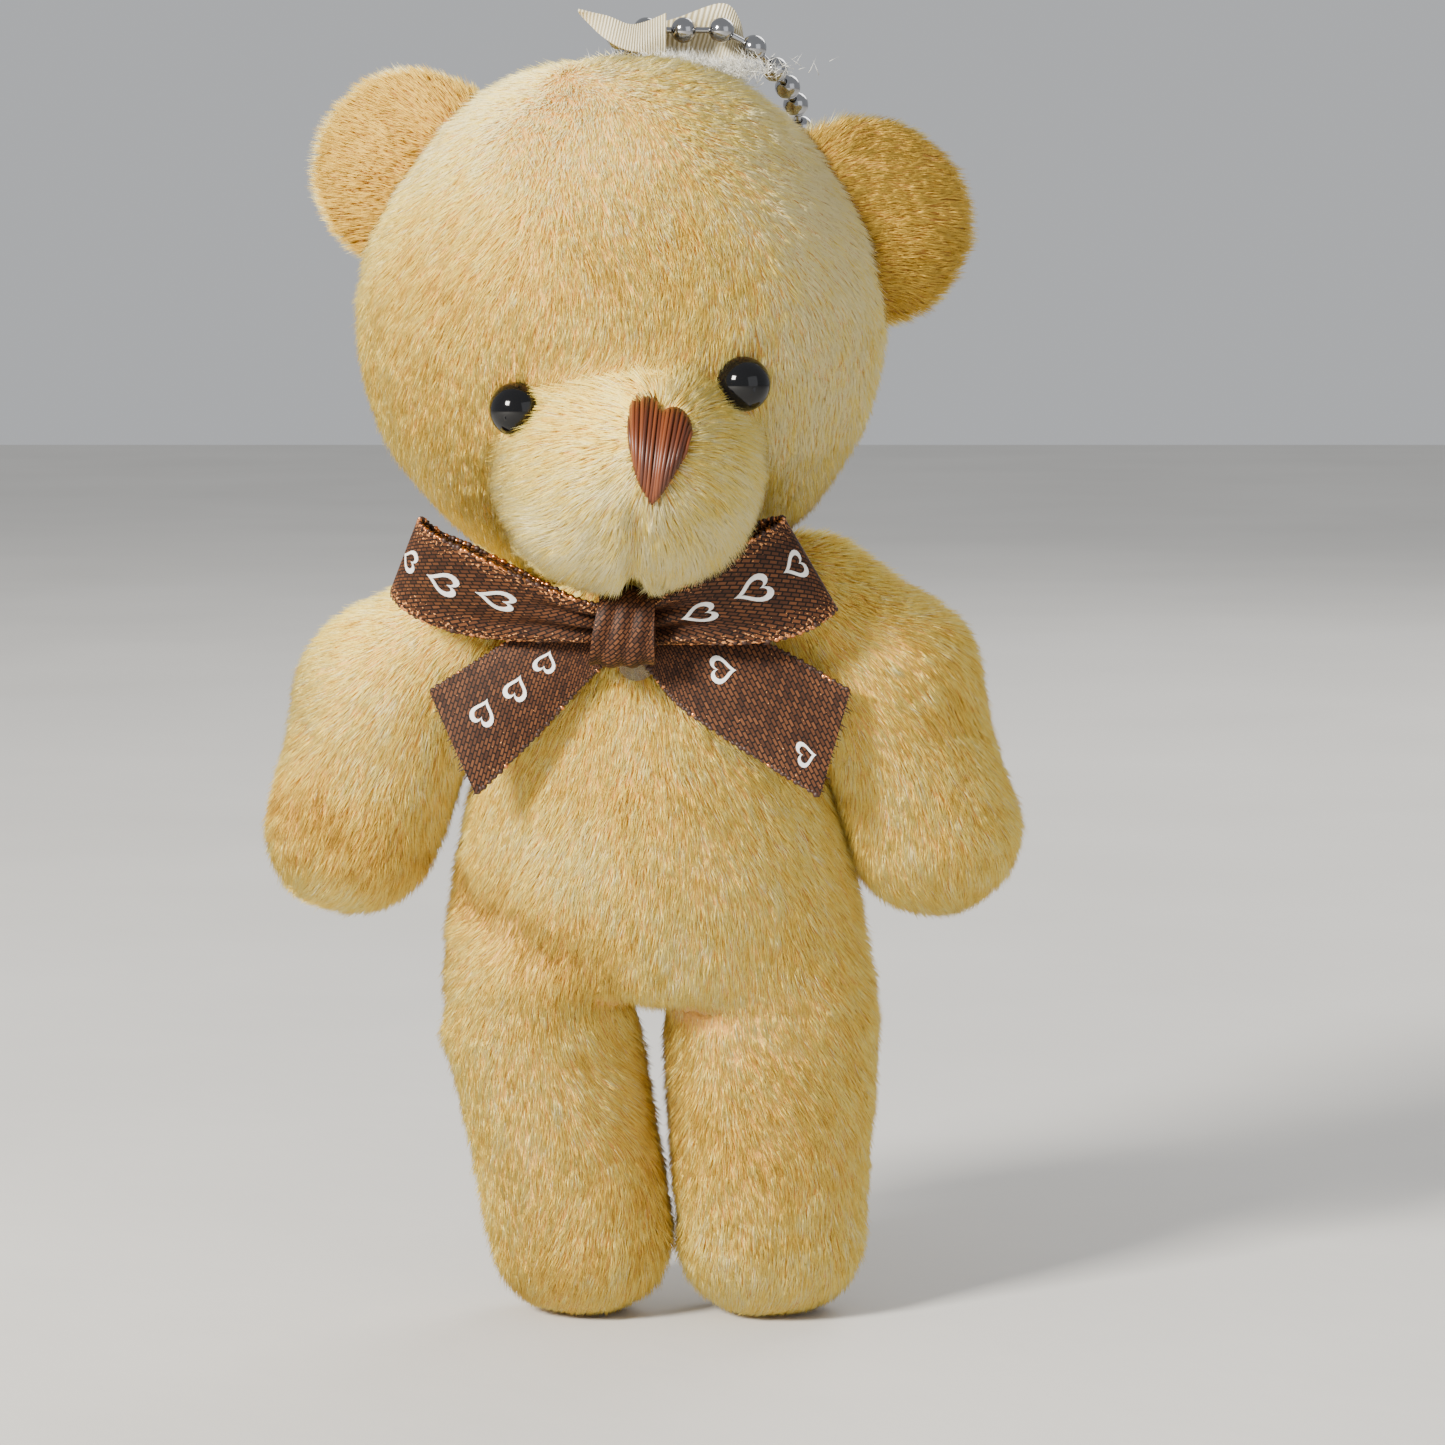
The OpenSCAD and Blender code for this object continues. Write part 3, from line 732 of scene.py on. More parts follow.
def build_head():
    low, high = head_low - 4, head_high + 4
    low[1] = muzzle_low[1] - 2
    points, quads = skin_mesh(face_shape, low, high)
    middle = middles(points, quads)
    is_back = middle[:, 1] > SEAM_Y
    is_muzzle = (muzzle_shape(middle) < head_shape(middle)) & ~is_back
    is_front = ~is_back & ~is_muzzle
    eyes = [eye("left"), eye("right")]

    def off_the_eyes(root):
        return np.all([np.linalg.norm(root - e, axis=1) > 2.45 for e in eyes], axis=0)

    def off_the_face(root):
        nose = root - NOSE_MIDDLE
        across = (nose[:, 0] - 0.1 * nose[:, 2]) / (1.9 + 0.25 * nose[:, 2])
        beside = across**2 + (nose[:, 2] / 4.4) ** 2 > 0.7
        return off_the_eyes(root) & (beside | (root[:, 1] > MUZZLE[1]))

    def face_nap(p, normal):
        from_nose = unit((p - NOSE_MIDDLE) * [1, 0.4, 1])
        near = np.exp(-((np.linalg.norm(p - NOSE_MIDDLE, axis=1) / 8) ** 2))[:, None]
        return downwards(p, normal) * (1 - near) + 1.4 * from_nose * near

    def muzzle_nap(p, normal):
        from_nose = unit((p - NOSE_MIDDLE - [0, 0, 1]) * [1, 0.3, 1])
        return from_nose * [1.2, 1, 0.6] + [0, 0, -0.4] + 0.9 * (smooth_noise(p, 4, 7) - 0.5)

    front, back, snout = quads[is_front], quads[is_back], quads[is_muzzle]
    face = (face_shape, points)
    panel("head_front_skin", "head", face, front, ["head_front", "head_filling"])
    panel("head_back_skin", "head", face, back, ["head_back"])
    panel("muzzle_skin", "head", face, snout, ["muzzle", "muzzle_filling"])
    fur("head_front_pile", "head", face, front, 30, 1.8, face_nap, pale=0.55, keep=off_the_eyes, **GOLDEN)
    fur("head_back_pile", "head", face, back, 20, 1.9, downwards, pale=0.48, **GOLDEN)
    look = {"pale": 0.54, "keep": off_the_face, "lean": 64}
    fur("muzzle_pile", "head", face, snout, 36, 2.1, muzzle_nap, **look, **GOLDEN)


def build_ear(side):
    shape = ear_shape(side)
    middle = ear_middle(side)
    r = EARS[side][2] + 2
    reach = np.array([r, EAR_HALF_T + 2, r])
    points, quads = skin_mesh(shape, middle - reach, middle + reach, 0.6)
    at = middles(points, quads)
    outside = head_shape(at) > -1.2

    def outwards(p, normal):
        return unit(p - HEAD_AT) + [0, 0, -0.35] + 0.8 * (smooth_noise(p, 5, 12) - 0.5)

    def clear_of_head(root):
        return head_shape(root) > -0.3

    for half, is_half in (("front", at[:, 1] < SEAM_Y), ("back", at[:, 1] >= SEAM_Y)):
        own = quads[is_half & outside]
        name = f"ear_{half}_{side}"
        under = ear_backing if half == "front" else backing
        look = {"shades": EAR_PLUSH, "slot": "plush_ear"} if half == "front" else GOLDEN
        panel(name + "_skin", "head", (shape, points), own, [name], under, look["slot"])
        look = {**look, "pale": 0.55, "lean": 60, "keep": clear_of_head}
        fur(name + "_pile", "head", (shape, points), own, 28, 1.7, outwards, **look)


# ---- body, arms and legs ----


def build_body():
    low = np.array([-26.0, SEAM_Y - 16, -1.0])
    high = np.array([30.0, SEAM_Y + 16, 76.0])
    points, quads = skin_mesh(body_shape, low, high)
    middle = middles(points, quads)
    part_x = (HIP["left"][0] + HIP["right"][0]) / 2
    above = middle[:, 2] > CROTCH_Z
    front = middle[:, 1] < SEAM_Y
    skin = (body_shape, points)

    def not_under_tail(root):
        return ~under_tail(root)

    for half, chosen, nodes, density in (
        ("front", above & front, ["body_front", "body_filling"], 28),
        ("back", above & ~front, ["body_back", "neck_filling"], 18),
    ):
        own = quads[chosen]
        panel(f"torso_{half}_skin", "torso", skin, own, nodes)
        look = {"pale": 0.48, "keep": not_under_tail}
        fur(f"torso_{half}_pile", "torso", skin, own, density, 1.9, downwards, **look, **GOLDEN)

    def off_the_sole(root):
        return root[:, 2] > 0.3

    for side, beside in (("left", middle[:, 0] < part_x), ("right", middle[:, 0] >= part_x)):
        own = quads[~above & beside]
        x = HIP[side][0]
        bend = ("torso", "leg_" + side, tuple(spot(x, CROTCH_Z) * MM), tuple(spot(x, CROTCH_Z - 11) * MM))
        nodes = ["leg_" + side, "leg_filling_" + side]
        panel(f"leg_{side}_skin", None, skin, own, nodes, bend=bend)
        look = {"keep": off_the_sole, "bend": bend}
        fur(f"leg_{side}_pile", None, skin, own, 26, 1.9, downwards, **look, **GOLDEN)


def build_arm(side):
    shape = arm_shape(side)
    (upper, upper_r), _ = ARM[side]
    low = np.minimum(spot(*upper) - upper_r, paw(side) - PAW_R) - 2
    high = np.maximum(spot(*upper) + upper_r, paw(side) + PAW_R) + 2
    points, quads = skin_mesh(shape, low, high)
    skin = (shape, points)
    body = "arm_" + side
    panel(body + "_skin", body, skin, quads, [body, "arm_filling_" + side])

    def outside_the_torso(root):
        return body_shape(root) > -2.5

    def down_the_arm(p, normal):
        return unit(paw(side) - spot(*upper)) + 0.9 * (smooth_noise(p, 10, 13) - 0.5)

    fur(body + "_pile", body, skin, quads, 26, 1.9, down_the_arm, keep=outside_the_torso, **GOLDEN)


# ---- nose ----

NOSE_MIDDLE = np.array([2.1, muzzle_low[1] + 1.5, 82.6])
nose_shades = [
    plain(f"nose_thread_{i}", ink(*c), Roughness=0.4, Specular_IOR_Level=0.5)
    for i, c in enumerate([(74, 32, 11), (92, 42, 16), (112, 55, 23)])
]
NOSE_TIP = (1.4, 78.2)
STITCH_R = 0.2
# Each lobe's stitches: where they start and where they end, in X and Z, and how many there are
NOSE_LOBES = [
    (
        [(-0.6, 85.4), (-0.3, 87.2), (0.6, 87.9), (1.6, 87.4), (2.3, 86.0)],
        [(-0.4, 83.0), (0.3, 80.3), NOSE_TIP],
        10,
    ),
    (
        [(2.3, 86.0), (3.1, 86.5), (4.0, 86.3), (4.7, 85.4), (4.9, 84.3)],
        [NOSE_TIP, (2.5, 79.5), (4.4, 82.6)],
        9,
    ),
]


def front_of(shape, x, z):
    """The Y where a line along Y first meets a shape, for arrays of X and Z."""

    def outside(y):
        return shape(np.stack([x, np.broadcast_to(y, x.shape), z], 1)) > 0

    ys = np.arange(-45.0, 0.0, 0.5)
    clear_steps = np.cumprod([outside(y) for y in ys], axis=0).sum(0)
    near = ys[np.maximum(clear_steps, 1) - 1]
    far = near + 0.5
    for _ in range(8):
        y = (near + far) / 2
        clear = outside(y)
        near, far = np.where(clear, y, near), np.where(clear, far, y)
    return near


def tube(path, radius, sides=8):
    """Points and triangles round a path, with closed ends drawn to a point."""
    path = np.asarray(path, float)
    radius = np.broadcast_to(radius, len(path))
    along = unit(np.gradient(path, axis=0))
    side = unit(np.cross(along, np.where(np.abs(along[:, :1]) < 0.9, [[1.0, 0, 0]], [[0, 0, 1.0]])))
    other = np.cross(along, side)
    turns = np.arange(sides) * 2 * math.pi / sides
    ring = np.cos(turns)[:, None] * side[:, None] + np.sin(turns)[:, None] * other[:, None]
    points = (path[:, None] + ring * radius[:, None, None]).reshape(-1, 3)
    i = np.arange(len(path) - 1)[:, None] * sides
    j = np.arange(sides)
    k = (j + 1) % sides
    first = np.stack([i + j, i + k, i + sides + k], -1).reshape(-1, 3)
    second = np.stack([i + j, i + sides + k, i + sides + j], -1).reshape(-1, 3)
    start = np.full(sides, len(points))
    tail = (len(path) - 1) * sides
    caps = [np.stack([k, j, start], 1), np.stack([tail + j, tail + k, start + 1], 1)]
    points = np.concatenate([points, path[:1] - along[:1] * radius[0], path[-1:] + along[-1:] * radius[-1]])
    return points, np.concatenate([first, second, *caps])


def joined(parts):
    """Several (points, triangles) as one, with which part each triangle came from."""
    points, faces, owner, start = [], [], [], 0
    for i, (p, f) in enumerate(parts):
        points.append(p)
        faces.append(f + start)
        owner.append(np.full(len(f), i))
        start += len(p)
    return np.concatenate(points), np.concatenate(faces), np.concatenate(owner)


def build_nose():
    parts = []
    t = np.linspace(0, 1, 18)
    for layer, lift in ((0, 0.35), (1, 0.75)):
        for top, bottom, count in NOSE_LOBES:
            for i in range(count - layer):
                share = (i + 0.5 * layer) / (count - 1)
                a, b = curve(top, [share])[0], curve(bottom, [share])[0]
                line = a + (b - a) * t[:, None]
                sway = random.normal(0, 0.05)
                line[:, 0] += sway * np.sin(math.pi * t)
                surface = front_of(muzzle_shape, line[:, 0], line[:, 1])
                full = math.sin(math.pi * (0.12 + 0.76 * share))
                arch = (0.35 + 0.65 * full) * np.sin(math.pi * (0.04 + 0.92 * t)) ** 0.5
                y = surface + 0.25 - (lift + 1.25 * arch)
                path = np.stack([line[:, 0], y, line[:, 1]], 1)
                parts.append(tube(path, STITCH_R))
    points, faces, owner = joined(parts)
    shade = random.integers(0, len(nose_shades), len(parts))[owner]
    ob = new_object("nose_stitches", points, faces, nose_shades, shade)
    attach(ob, "nose_thread", "head", ["nose_stitching"])


# ---- ribbon bow ----


def woven(name, painted_edge_glints):
    """Brown ribbon with slanted weave cells, flecks of copper thread and painted glints; one UV unit is a
    millimetre.

    The second argument is how many more painted glints there are at its edges."""
    material = plain(name, ink(70, 40, 26), Roughness=0.6, Specular_IOR_Level=0.2)
    at = add(material, "UVMap", uv_map="weave").outputs["UV"]
    place = add(material, "Mapping", [("Vector", at)], Rotation=(0, 0, math.radians(38)))
    brick = {"Brick_Width": 0.74, "Row_Height": 0.4, "Mortar_Size": 0.1, "Mortar_Smooth": 0.6}
    browns = {"Color1": ink(104, 62, 35), "Color2": ink(58, 31, 17), "Mortar": ink(16, 8, 4)}
    slanted = [("Vector", place.outputs["Vector"])]
    cells = add(material, "TexBrick", slanted, Scale=1.0, offset=0.5, **brick, **browns)
    # flecks of copper thread, partly painted glints, with more painted glints towards the edges
    fleck_and_glint = add(material, "TexNoise", slanted, Scale=3.4, Detail=2.0)
    across = add(material, "SeparateXYZ", [("Vector", at)]).outputs["Y"]
    edge = add(material, "Math", [(0, across)], operation="ABSOLUTE")
    rise = {"From_Min": 2.6, "From_Max": 4.8, "To_Max": painted_edge_glints}
    painted_glint_at_edges = add(material, "MapRange", [("Value", edge.outputs[0])], **rise).outputs["Result"]
    more = add(material, "Math", [(0, fleck_and_glint.outputs["Fac"]), (1, painted_glint_at_edges)], operation="ADD")
    copper = ramp(material, more.outputs[0], (0.72, (0, 0, 0, 1)), (0.76, (1, 1, 1, 1)))
    mixed = add(material, "Mix", data_type="RGBA")
    links = material.node_tree.links
    links.new(copper, mixed.inputs[0])
    links.new(cells.outputs["Color"], mixed.inputs[6])
    # the colour of the copper flecks and the painted glints
    mixed.inputs[7].default_value = ink(206, 140, 84)
    to_shader(material, "Base Color", mixed.outputs[2])
    bump(material, cells.outputs["Fac"], 0.00012, -0.8)
    return material


ribbon_brown = woven("ribbon_brown", 0.03)
# loops and knot: more painted glints at the edges, where folds catch the light
ribbon_painted_glints = woven("ribbon_painted_glints", 0.16)
copper_thread = [
    plain("copper_thread", ink(214, 142, 92), Metallic=1.0, Roughness=0.3),
    plain("brown_thread", ink(58, 32, 20), Roughness=0.5),
]
print_white = patchy("print_white", ink(222, 220, 216), ink(246, 245, 242), 700, 0.5, 0.00003)


def on_sheet(place, u, v):
    """Points of the sheet place(u, v), and the way it faces there."""
    du = place(u + 1e-3, v) - place(u - 1e-3, v)
    dv = place(u, v + 1e-3) - place(u, v - 1e-3)
    return place(u, v), unit(np.cross(du, dv))


def band(name, place, size, grid, material, thick=0.4):
    """A ribbon whose middle surface is place(u, v), u from 0 to 1 along it and v from -1 to 1 across.

    size is its length and width, and grid is how many points lie along and across it."""
    (length, width), (rows, columns) = size, grid
    u, v = np.meshgrid(np.linspace(0, 1, rows), np.linspace(-1, 1, columns), indexing="ij")
    middle, normal = on_sheet(place, u, v)
    uv = np.stack([u * length, v * width / 2], -1).reshape(-1, 2)
    top = (middle + normal * thick / 2).reshape(-1, 3)
    bottom = (middle - normal * thick / 2).reshape(-1, 3)
    n = rows * columns
    i, j = np.meshgrid(np.arange(rows - 1), np.arange(columns - 1), indexing="ij")
    a = (i * columns + j).ravel()
    sheet = np.stack([a, a + columns, a + columns + 1, a + 1], 1)
    edge_lines = [np.arange(rows) * columns, np.arange(rows)[::-1] * columns + columns - 1]
    edge_lines += [np.arange(columns)[::-1], (rows - 1) * columns + np.arange(columns)]
    rims = [np.stack([e[:-1], e[:-1] + n, e[1:] + n, e[1:]], 1)[:, ::-1] for e in edge_lines]
    faces = np.concatenate([sheet, sheet[:, ::-1] + n, *rims])
    points = np.concatenate([top, bottom])
    ob = new_object(name, points, faces, [material], uv=np.concatenate([uv, uv]))
    ob.data.set_sharp_from_angle(angle=math.radians(40))
    return ob


def heart_outline(count=32, stroke=0.34):
    """A heart about 1 across, drawn as a closed line: points outside then inside, triangles and edges."""
    t = np.arange(count) * 2 * math.pi / count
    x = np.sin(t) ** 3
    y = (13 * np.cos(t) - 5 * np.cos(2 * t) - 2 * np.cos(3 * t) - np.cos(4 * t)) / 16
    outline = np.stack([x, y], 1) / 2
    middle = np.array([0, -0.04])
    points = np.concatenate([outline, middle + (outline - middle) * (1 - stroke)])
    j = np.arange(count)
    k = (j + 1) % count
    faces = np.concatenate([np.stack([j, k, k + count], 1), np.stack([j, k + count, j + count], 1)])
    return points, faces, [(j, k), (k + count, j + count)]


def hearts(name, place, length, spots):
    """Hearts printed on a ribbon's front, at spots along and across it."""
    flat, faces, edges = heart_outline()
    parts = []
    for along, across, size, turn in spots:
        c, s = math.cos(math.radians(turn)), math.sin(math.radians(turn))
        x = along + size * (flat[:, 0] * c - flat[:, 1] * s)
        y = across + size * (flat[:, 0] * s + flat[:, 1] * c)
        middle, normal = on_sheet(place, x / length, y / (RIBBON_W / 2))
        normal *= -np.sign(normal[:, 1].mean())
        points = np.concatenate([middle + normal * 0.27, middle + normal * 0.15])
        n = len(middle)
        sides = [np.stack([a, b, b + n], 1) for a, b in edges]
        sides += [np.stack([a, b + n, a + n], 1) for a, b in edges]
        parts.append((points, np.concatenate([faces, faces[:, ::-1] + n, *sides])))
    points, faces, _ = joined(parts)
    attach(new_object(name, points, faces, [print_white], smooth=False), "bow_print", "torso")


def edge_threads(name, place, rows, bright):
    """Short beads of thread along both edges of a ribbon; bright is the share of copper ones."""
    parts, shade = [], []
    u = np.linspace(0.01, 0.99, rows)
    t = np.linspace(0, 1, 4)[:, None]
    for v in (-1, 1):
        line = place(u, np.full(rows, float(v)))
        near = place(u, np.full(rows, 0.95 * v))
        out = unit(line - near)
        for i in range(rows - 1):
            a, b = line[i], line[i + 1]
            if np.linalg.norm(b - a) > 2:
                continue
            path = a + (b - a) * t + out[i] * 0.06 * math.cos(math.pi * i)
            radius = 0.2 * np.array([0.7, 1, 1, 0.7]) * (1 + 0.25 * random.normal())
            parts.append(tube(path, np.abs(radius) + 0.04, 6))
            shade.append(0 if random.random() < bright else 1)
    points, faces, owner = joined(parts)
    attach(new_object(name, points, faces, copper_thread, np.array(shade)[owner]), "bow_ribbon", "torso")


RIBBON_W = 10.0
LOOPS = {  # reach, upward slant in degrees, how far the outer end's top leans back in, tilt in degrees
    "left": (19.4, 18, 0.3, 42),
    "right": (16.2, 19, 0.9, 20),
}
KNOT_RISE = 1.0  # how far the pile under it holds the bow up
LOOP_FAT = 2.3  # how far a loop's front and back bulge from its middle


def loop_place(side):
    """A loop of ribbon: out from the knot in front, round its end, and back behind."""
    reach, slant, skew, tilt = LOOPS[side]
    sign = -1 if side == "left" else 1
    turn = math.radians(slant)
    out = np.array([sign * math.cos(turn), 0, math.sin(turn)])
    tilt = math.radians(tilt)
    level_up = [-sign * math.sin(turn) * math.cos(tilt), -math.sin(tilt), math.cos(turn) * math.cos(tilt)]
    up = np.array(level_up)
    front = np.cross(up, out) * sign * -1
    front = front if front[1] < 0 else -front
    knot_side = KNOT_HIGH[0] if sign > 0 else KNOT_LOW[0]
    root = np.array([knot_side, KNOT[1] + 0.4, KNOT[2] + KNOT_RISE + 0.9]) - out * 1.3

    def place(u, v):
        along = reach * (1 - np.cos(2 * math.pi * u)) / 2
        share = along / reach
        lift = LOOP_FAT * np.sin(2 * math.pi * u) * (0.45 + 0.55 * np.sin(math.pi * u) ** 2)
        half = RIBBON_W / 2 * (0.42 + 0.58 * step_up(share, 0, 0.9))
        pleat = 0.55 * np.cos(2.5 * math.pi * v) * (1 - step_up(share, 0.05, 0.5))
        cup = -0.7 * v**2 * np.sin(math.pi * np.clip(share, 0, 1))
        sag = -0.5 * np.sin(math.pi * share) * (1 - 0.3 * v)
        rolled = 0.8 * step_up(-v, 0.5, 1) * np.sin(math.pi * share) ** 0.5
        height = lift + pleat + rolled + cup * np.sign(np.sin(2 * math.pi * u) + 1e-9) * 0.6
        behind = step_up(u, 0.5, 0.64) if side == "left" else 0 * u
        half = half * (1 - 0.25 * behind)
        return (
            root
            + out * (along - skew * v * share)[..., None]
            + front * height[..., None]
            + up * (v * half - 0.9 * behind)[..., None]
            + np.array([0, 0, 1.0]) * sag[..., None]
        )

    return place


def knot_place(u, v):
    """The wrap round the middle of the bow, with folds that run round it."""
    turn = 2 * math.pi * u
    fold = 0.13 * np.cos(3 * math.pi * (v + 0.22 * np.sin(turn) + 0.12))
    deep, tall = 2.6 + fold, 3.5 + fold - 0.35 * v**2
    x = KNOT[0] + v * (2.75 + 0.25 * np.sin(turn)) - 0.25 * np.sin(turn)
    round_y = np.sign(np.cos(turn)) * np.abs(np.cos(turn)) ** 0.8
    return np.stack([x, KNOT[1] - deep * round_y, KNOT[2] + KNOT_RISE - tall * np.sin(turn)], -1)


def frayed_end(side):
    """Loose thread ends along a tail's cut."""
    parts = []
    t = np.linspace(0, 1, 4)[:, None]
    for v in np.linspace(-0.97, 0.97, 30):
        a = tail_point(side, np.array(0.985), np.array(v))
        b = tail_point(side, np.array(1.0), np.array(v))
        out = unit(b - a) + random.normal(0, 0.18, 3)
        long = 0.25 + 0.5 * random.random() ** 2
        parts.append(tube(b - out * 0.2 + out * long * t, 0.07 * np.array([1, 1, 0.8, 0.4]), 5))
    points, faces, _ = joined(parts)
    ob = new_object(f"tail_{side}_fray", points, faces, [copper_thread[1]])
    attach(ob, "bow_ribbon", "torso")


def printed(name, place, length, rows, material, spots, beads, bright):
    """A tail or a loop of the bow, with its hearts and its edge thread."""
    ob = band(name, place, (length, RIBBON_W), (rows, 25), material)
    attach(ob, "bow_ribbon", "torso", ["bow_" + name])
    hearts(name + "_print", place, length, spots)
    edge_threads(name + "_edge", place, beads, bright)


def build_bow():
    """Two tails, two loops and the knot's wrap, with hearts where the ribbon is printed."""
    tail_hearts = {  # mm along, mm across, size, turn in degrees
        "left": [(8.6, 0.4, 2.8, -128), (12.6, 0.2, 2.8, -128), (16.8, 0.4, 2.8, -128)],
        "right": [(9.0, 0.6, 2.8, 118), (18.6, -2.4, 2.2, 118)],
    }
    for side, spots in tail_hearts.items():
        tail = partial(tail_point, side)
        printed("tail_" + side, tail, 21.0, 56, ribbon_brown, spots, 60, 0.12)
        frayed_end(side)
    loop_hearts = {  # share of the length, mm across, size, turn in degrees
        "left": [(0.26, 1.0, 2.9, 90), (0.35, 0.4, 2.9, 90), (0.445, 0.6, 2.9, 90)],
        "right": [(0.2, 0.0, 2.8, -90), (0.31, 0.6, 2.9, -90), (0.42, 0.9, 2.9, -90)],
    }
    for side, hearts_there in loop_hearts.items():
        length = 2 * LOOPS[side][0] + 3
        spots = [(share * length, across, size, turn) for share, across, size, turn in hearts_there]
        printed("loop_" + side, loop_place(side), length, 120, ribbon_painted_glints, spots, 130, 0.4)
    ob = band("knot_wrap", knot_place, (25, 7), (96, 33), ribbon_painted_glints)
    attach(ob, "bow_ribbon", "torso", ["bow_knot"])


# ---- hang tab ----


def build_tab():
    satin = plain("tab_satin", ink(214, 202, 166), Roughness=0.4, Specular_IOR_Level=0.4)
    at = add(satin, "UVMap", uv_map="weave").outputs["UV"]
    ribs = add(satin, "TexWave", [("Vector", at)], Scale=1.1, Distortion=0.8, Detail=1.0)
    ribbed = ramp(satin, ribs.outputs["Fac"], (0.2, ink(176, 160, 118)), (0.8, ink(228, 219, 190)))
    to_shader(satin, "Base Color", ribbed)
    bump(satin, ribs.outputs["Fac"], 0.00006)

    def between(upper, lower, u, v):
        """A point between two lines drawn in X and Z."""
        a, b = curve(upper, u), curve(lower, u)
        return b + (a - b) * ((v + 1) / 2)[..., None]

    def peak(u, v):
        """The standing fold behind the balls."""
        upper = [(-0.3, 120.6), (3.2, 121.5), (7.6, 122.9), (9.2, 121.4), (9.7, 118.6)]
        lower = [(-0.3, 116.4), (2.6, 116.2), (5.4, 116.2), (8.0, 115.6), (9.2, 114.6)]
        xz = between(upper, lower, u, v)
        y = CHAIN[1] + 1.9 + 0.3 * np.sin(6 * u + 2 * v) + 0.2 * np.cos(5 * v) * u
        return np.stack([xz[..., 0], y, xz[..., 1]], -1)

    def leaf(u, v):
        """The loose end, which lies to the left in front and ends in a point."""
        upper = [(2.5, 121.9), (0.6, 121.1), (-1.0, 120.9), (-3.0, 121.7), (-5.6, 122.2)]
        lower = [(2.4, 117.6), (0.6, 118.2), (-1.4, 118.6), (-3.4, 119.8), (-5.4, 121.9)]
        xz = between(upper, lower, u, v)
        wrap = 0.5 * v**2 * step_up(1 - u, 0.5, 1)
        y = CHAIN[1] - 1.8 + wrap - 0.6 * np.sin(3.2 * u) + 0.5 * v * np.sin(4 * u)
        return np.stack([xz[..., 0], y, xz[..., 1]], -1)

    fold = band("tab_fold", peak, (9, 10), (30, 21), satin, 0.25)
    attach(fold, "tab_ribbon", "head", ["hang_tab"])
    attach(band("tab_leaf", leaf, (9, 4), (30, 21), satin, 0.25), "tab_ribbon", "head")


def build_fluff():
    """Stray white fibres of stuffing round the foot of the tab."""
    n = int(2600 * FUR_SHARE)
    white = plain("stray_stuffing", ink(238, 236, 226), Roughness=0.8)
    spread = random.normal(size=(n, 3)) * [3.4, 0.9, 0.5]
    root = settle(head_shape, CHAIN + [1.5, -1.6, -2.4] + spread, 2)
    way = unit(random.normal(size=(n, 3)) + [0, -0.3, 0.5])
    tip = root + way * (0.9 + 1.1 * random.random((n, 1)))
    tip[:, 2] = np.minimum(tip[:, 2], CHAIN[2] - 1.4)
    side = unit(np.cross(way, random.normal(size=(n, 3)))) * 0.035
    up = np.cross(way, side)
    points, faces = spikes([root + side, root - side, root + up], tip)
    attach(new_object("tab_fluff", points, faces, [white]), "stuffing", "head")


# ---- CAD nodes that keep their shape ----


def repaint(material, *nodes):
    for n in nodes:
        ob = frame["nodes"][n]
        ob.data.materials.clear()
        ob.data.materials.append(material)
        ob.data.polygons.foreach_set("material_index", np.zeros(len(ob.data.polygons), np.int32))


def finish_cad_nodes():
    steel = plain("chain_steel", (0.36, 0.36, 0.37, 1), Metallic=1.0)
    smeared(steel, 900.0, 3.0, 0.05, 0.2)
    repaint(steel, *[n for n in frame["nodes"] if n.startswith("chain_")])
    bead = plain("eye_bead", ink(10, 10, 12), Specular_IOR_Level=0.35)
    smeared(bead, 400.0, 2.0, 0.04, 0.12)
    repaint(bead, "eye_left", "eye_right")
    nylon = patchy("nylon_washer", ink(214, 214, 210), ink(232, 232, 228), 500, 0.45, 0.00005)
    repaint(nylon, "eye_washer_left", "eye_washer_right")
    honey, pale = ink(214, 196, 150), ink(232, 220, 184)
    repaint(patchy("clear_glue", honey, pale, 600, 0.12, 0.00008, Transmission_Weight=0.85), "bow_glue")


# ---- floor, light and camera ----


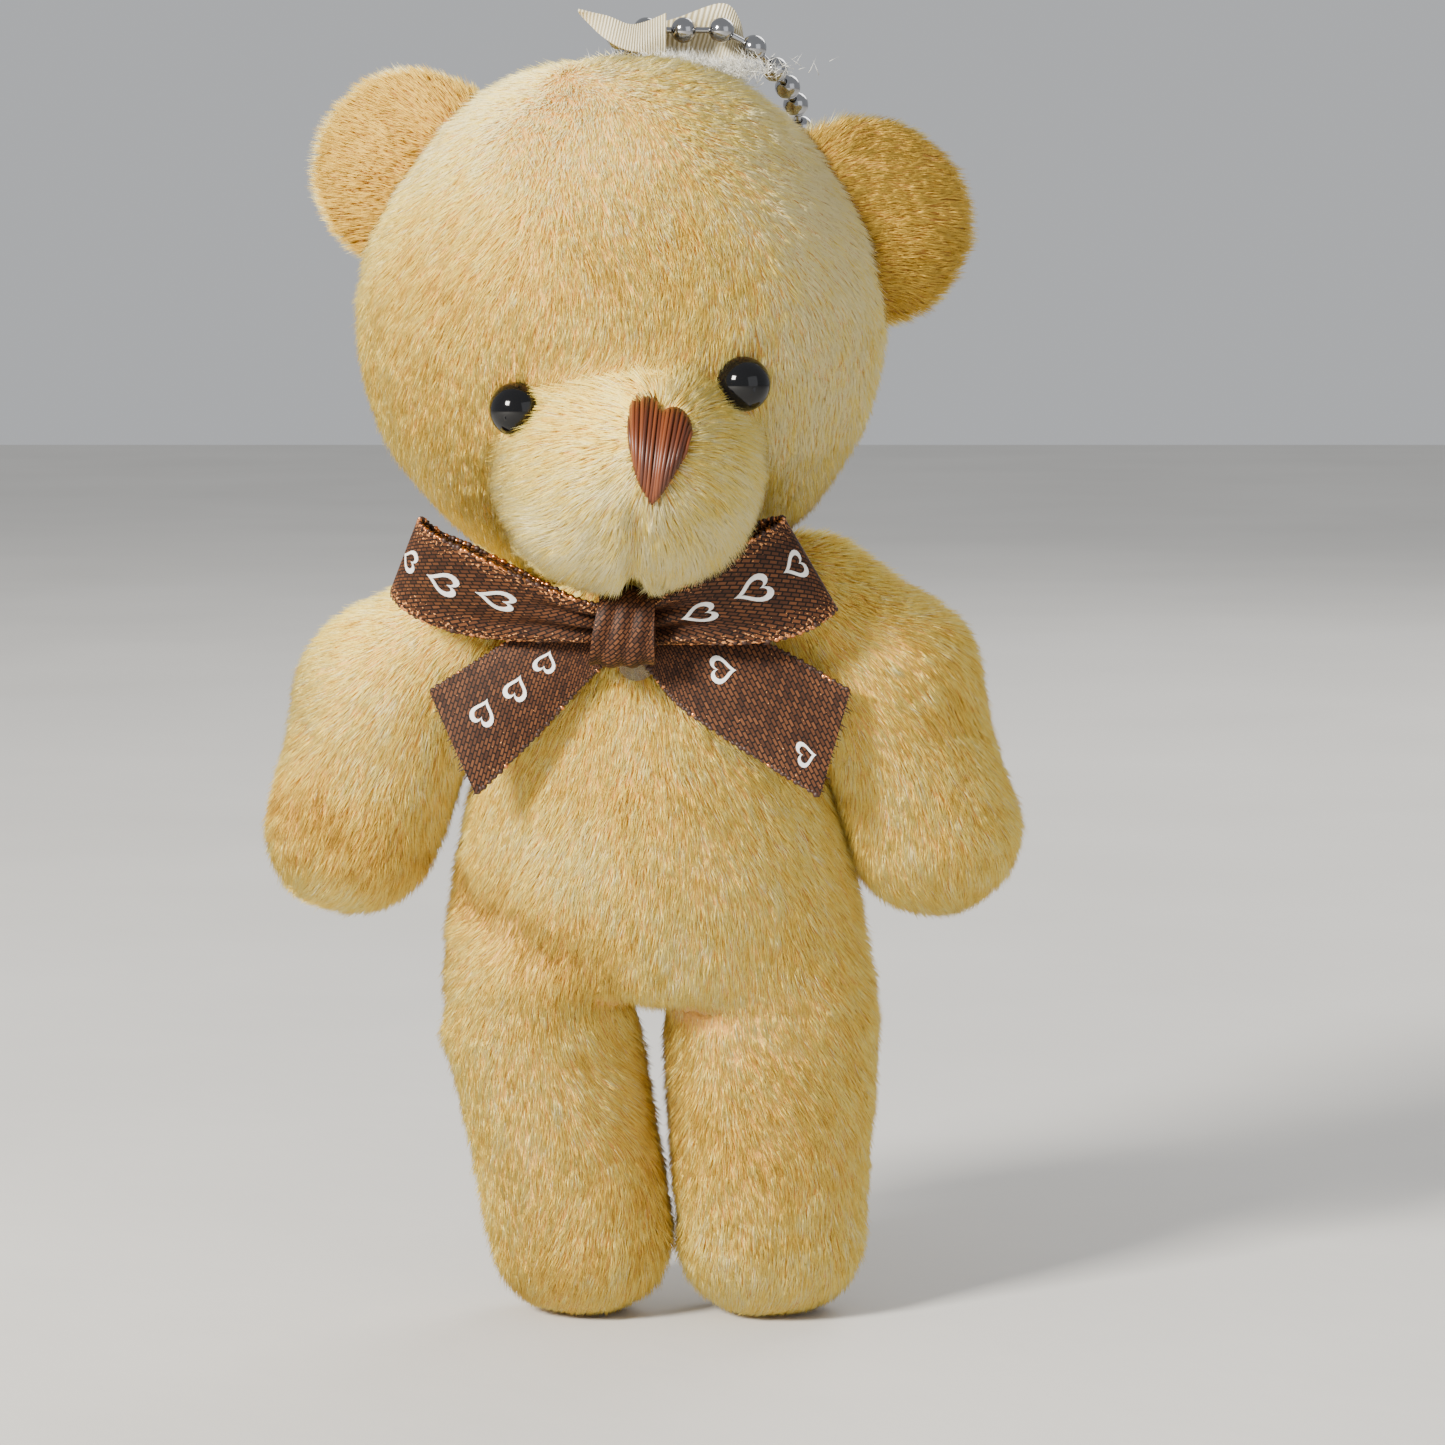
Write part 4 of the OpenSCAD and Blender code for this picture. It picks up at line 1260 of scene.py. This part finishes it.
def aimed(name, data, place, target):
    """A lamp or camera at a place, turned towards a target, both in metres."""
    ob = bpy.data.objects.new(name, data)
    ob.location = place
    ob.rotation_euler = (target - ob.location).to_track_quat("-Z", "Y").to_euler()
    bpy.context.scene.collection.objects.link(ob)
    return ob


def build_stage():
    far = 1500.0
    floor_shape = np.array([[-far, -far, 0], [far, -far, 0], [far, far, 0], [-far, far, 0]])
    pale = patchy("pale_floor", ink(206, 204, 200), ink(214, 212, 208), 12, 0.8, 0.0001)
    floor = new_object("floor", floor_shape, np.array([[0, 1, 2, 3]]), [pale], smooth=False)
    world = bpy.data.worlds.new("studio")
    world.use_nodes = True
    sky = world.node_tree.nodes["Background"].inputs
    sky["Color"].default_value = (0.9, 0.92, 0.95, 1)
    sky["Strength"].default_value = 0.55
    bpy.context.scene.world = world
    aim = Vector((0.0, 0.0, 0.065))
    lamps = (  # place, size, power and colour
        ("key", (-0.5, -0.55, 0.46), 0.2, 19.5, (1.0, 0.96, 0.88)),
        ("fill", (0.55, -0.6, 0.25), 0.6, 1.2, (0.95, 0.97, 1.0)),
        ("rim", (0.3, 0.6, 0.5), 0.4, 3.0, (1.0, 0.98, 0.95)),
    )
    for name, at, size, power, colour in lamps:
        lamp = bpy.data.lights.new(name, "AREA")
        lamp.size = size
        lamp.energy = power
        lamp.color = colour
        aimed(name, lamp, at, aim)


def build_camera():
    """The camera looks a little down at the front, from about arm's length."""
    seen_width = 0.1354
    distance = 0.52
    tilt = math.radians(6)
    target = Vector((0.0077, SEAM_Y * MM, 0.056))
    camera = bpy.data.cameras.new("camera")
    camera.sensor_width = 36
    camera.lens = camera.sensor_width * distance / seen_width
    camera.clip_start = 0.01
    away = Vector((0, -math.cos(tilt), math.sin(tilt))) * distance
    bpy.context.scene.camera = aimed("camera", camera, target + away, target)


build_camera()
build_stage()
build_head()
for side in ("left", "right"):
    build_ear(side)
    build_arm(side)
build_body()
build_nose()
build_bow()
build_tab()
build_fluff()
finish_cad_nodes()
